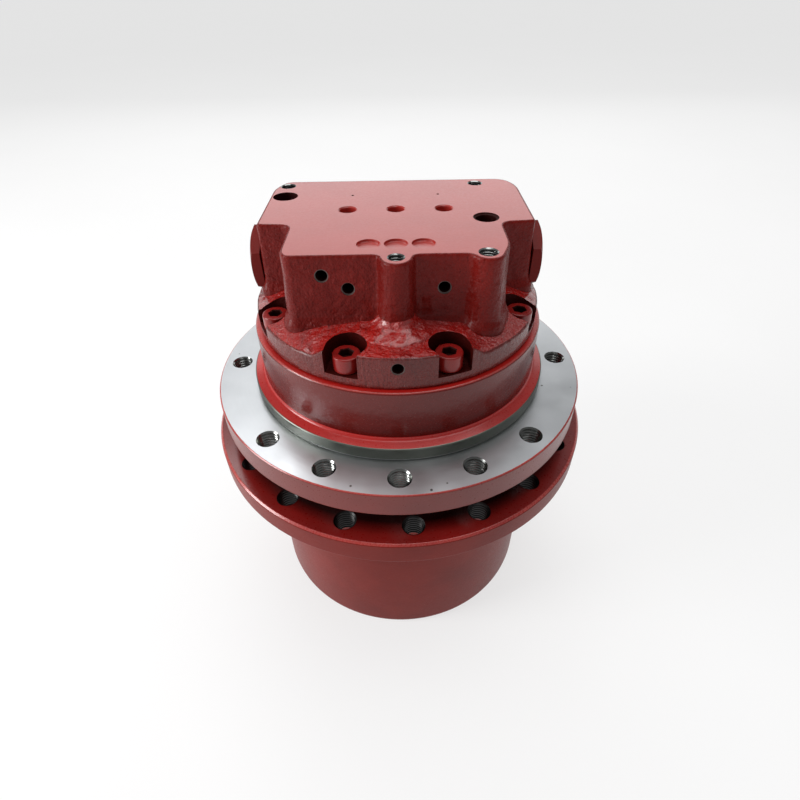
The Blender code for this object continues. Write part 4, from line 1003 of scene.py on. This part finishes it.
def gauge_profile(depth):
    """A small port that is drilled inwards along +Z of the cutter, with a spot face of its own finish."""
    ring = GAUGE_R + GAUGE_RING_W
    spot_face = sharp((0, -OVERLAP), (ring, -OVERLAP), (ring, 0.3), finish=1)
    return spot_face + sharp((GAUGE_R + 0.1, 0.4), (GAUGE_R, depth), (0, depth + 1.5))


def block_bores():
    """Plain holes: the one over a screw, the stepped one, two dots, the gauge ports and the base's hole."""
    access = plug_profile(ACCESS_R, POCKET_TOP - OVERLAP, BLOCK_TOP + OVERLAP)
    items = ring_of(access, (ACCESS_ANGLE,), SCREW_CIRCLE_R)
    bore = top_cut(
        STEP_BORE_R + 0.2, (0, STEP_BORE_DEPTH + STEP_BORE_CONE), (STEP_BORE_CORE_R, STEP_BORE_DEPTH),
        (STEP_BORE_CORE_R, 0.9), (STEP_BORE_R, 0.5))
    items.append((bore, at(*STEP_BORE), HOLE_SIDES))
    for x, y in DOTS:
        items.append((top_cut(DOT_R, (0, DOT_DEPTH), (DOT_R, DOT_DEPTH)), at(x, y), DOT_SIDES))
    for x, below in GAUGE_HOLES:
        items.append((gauge_profile(GAUGE_DEPTH), at(x, FRONT_Y, BLOCK_TOP - below) @ ALONG_Y, HOLE_SIDES))
    items.append((gauge_profile(BASE_HOLE_DEPTH), at(0, -BASE_R, BASE_HOLE_Z) @ ALONG_Y, HOLE_SIDES))
    return cutter("block_bores", items, HOLE_SHADE, RING_MARK)


def block_recesses():
    """Painted cuts in the top: three flat dishes at the front and three blind holes across the middle."""
    dish = top_cut(
        RECESS_R + 0.3, (0, RECESS_DEPTH), (RECESS_R - 1.0, RECESS_DEPTH), (RECESS_R - 0.2, 1.1),
        (RECESS_R, 0.2))
    hole = top_cut(
        BLIND_R + 0.1, (0, BLIND_DEPTH), (BLIND_R - 0.8, BLIND_WALL_DEPTH), (BLIND_R - 0.5, 0.6),
        (BLIND_R, 0.1))
    items = [(dish, at(x, y), DISH_SIDES) for x, y in RECESSES]
    items += [(hole, at(x, y), HOLE_SIDES) for x, y in BLIND_HOLES]
    return cutter("block_recesses", items, LIT_SMOOTH_PAINT)


def block_ends():
    """Spot faces and bores for both spool caps, and the spool's bore."""
    face = plug_profile(CAP_CORNER_R + 1.5, CAP_SEAT_X, BASE_R + OVERLAP)
    bore = plug_profile(CAP_PLUG_R + 0.6, CAP_PLUG_X - 1.0, CAP_SEAT_X + 1.0)
    items = []
    for side in (-1, 1):
        items.append((face, spool_axis(side), SPOT_FACE_SIDES))
        items.append((bore, spool_axis(side), ROUND_SIDES))
    items.append((plug_profile(SPOOL_BORE_R, -CAP_PLUG_X, CAP_PLUG_X), spool_axis(1), HOLE_SIDES))
    return cutter("block_ends", items, CAST_PAINT)


def port_block():
    block = block_body()
    for added in (base_disc, boss_foot):
        combine(block, added(), "UNION")
    for cut in (pockets, pocket_mouths, block_threads, block_bores, block_recesses, block_ends):
        combine(block, cut())
    settle(block, "port_block", "root")


# Screws and caps

def screws():
    """Socket head screws with a chamfered head and a hexagon key hole, painted over."""
    top = SCREW_TOP
    seat = top - HEAD_H
    profile = (
        (0, top, 0, 0), (HEAD_R, top, 0.9, 0), (HEAD_R, seat, 0.3, 0), (SHANK_R, seat, 0.2, 0),
        (SHANK_R, SCREW_LOW, 0.8, 0), (0, SCREW_LOW, 0, 0))
    wide = KEY_R + KEY_CHAMFER
    key = sharp(
        (0, top - KEY_DEPTH - KEY_CONE), (KEY_R, top - KEY_DEPTH), (KEY_R, top - KEY_CHAMFER),
        (wide, top + 0.05), (wide, top + 2), (0, top + 2))
    for number, angle in enumerate(SCREW_ANGLES, start=1):
        name = f"block_screw_{number}"
        place = at(*from_front(angle, SCREW_CIRCLE_R))
        screw = revolve(f"cap_screw_{number}", profile, (SCREW_PAINT,), ROUND_SIDES)
        screw.data.transform(place)
        turn = Matrix.Rotation(math.radians(KEY_TURN * number), 4, "Z")
        combine(screw, cutter(name + "_key", [(key, place @ turn, HEXAGON)], HOLE_SHADE))
        settle(screw, name, "root")


def caps():
    """Hexagon caps of the spool with a turned chamfer on their corners."""
    end = CAP_SEAT_X + CAP_HEAD_T
    outside = CAP_CORNER_R + 0.6
    seat = CAP_SEAT_X + 0.3
    profile = (
        (0, end, 0, 0), (CAP_CORNER_R - 2.6, end, 0.4, 0), (outside, end - 1.7, 0, 0), (outside, seat, 0, 0),
        (CAP_PLUG_R, seat, 0, 0), (CAP_PLUG_R, CAP_INNER_X, 0.6, 0), (0, CAP_INNER_X, 0, 0))
    hexagon = plug_profile(CAP_CORNER_R, CAP_INNER_X - OVERLAP, end + OVERLAP)
    for side, name in ((-1, "left"), (1, "right")):
        place = spool_axis(side)
        cap = revolve("hexagon_cap_" + name, profile, (CAP_PAINT,), CAP_SIDES)
        cap.data.transform(place)
        combine(cap, cutter("cap_hexagon", [(hexagon, place, HEXAGON)], CAP_PAINT), "INTERSECT")
        settle(cap, "spool_cap_" + name, "root")


# Studio

def camera():
    data = bpy.data.cameras.new("studio_camera")
    data.sensor_width = SENSOR
    data.lens = FOCAL_PX / FRAME_PX * SENSOR
    data.clip_start = 0.01
    data.clip_end = 50
    obj = bpy.data.objects.new("studio_camera", data)
    bpy.context.scene.collection.objects.link(obj)
    obj.location = [value * MM for value in CAMERA_AT]
    tilt = math.radians(90 - CAMERA_DOWN)
    aim = Euler((tilt, 0, math.radians(-CAMERA_TURN)), "XYZ").to_matrix().to_4x4()
    roll = Matrix.Rotation(math.radians(CAMERA_ROLL), 4, "Z")
    obj.rotation_euler = (aim @ roll).to_euler()
    bpy.context.scene.camera = obj


def softbox(name, place, target, width, height, power):
    """An area light that shines on its target and that the camera doesn't see."""
    data = bpy.data.lights.new(name, "AREA")
    data.shape = "RECTANGLE"
    data.size = width
    data.size_y = height
    data.energy = power
    obj = bpy.data.objects.new(name, data)
    bpy.context.scene.collection.objects.link(obj)
    obj.location = place
    obj.rotation_euler = (Vector(target) - Vector(place)).to_track_quat("-Z", "Y").to_euler()
    obj.visible_camera = False


def floor():
    """Pale paper under the drive, which glows a little so that it comes out nearly white."""
    bm = bmesh.new()
    bmesh.ops.create_grid(bm, x_segments=1, y_segments=1, size=FLOOR_SIZE)
    material, tree, shader, place = new_material("floor_paper")
    blotch = noise_node(tree, place, scale=3.0)
    colour = ramp(tree, blotch, ((0.3, (0.26, 0.26, 0.26)), (0.7, (0.28, 0.28, 0.28))))
    tree.links.new(colour, shader.inputs["Base Color"])
    shader.inputs["Roughness"].default_value = 0.9
    shader.inputs["Emission Color"].default_value = WHITE
    shader.inputs["Emission Strength"].default_value = 0.7
    obj = add_object("studio_floor", finished("studio_floor", bm), (material,))
    obj.location.z = -FLOOR_DROP * MM


def studio():
    world = bpy.data.worlds.new("studio_world")
    world.use_nodes = True
    background = world.node_tree.nodes["Background"]
    background.inputs["Color"].default_value = WHITE
    background.inputs["Strength"].default_value = 0.22
    bpy.context.scene.world = world
    for light in SOFTBOXES:
        softbox(*light)
    view = bpy.context.scene.view_settings
    view.view_transform = "Standard"
    view.exposure = 0.0


dress_nodes()
hub_housing()
motor_case()
port_block()
screws()
caps()
camera()
floor()
studio()
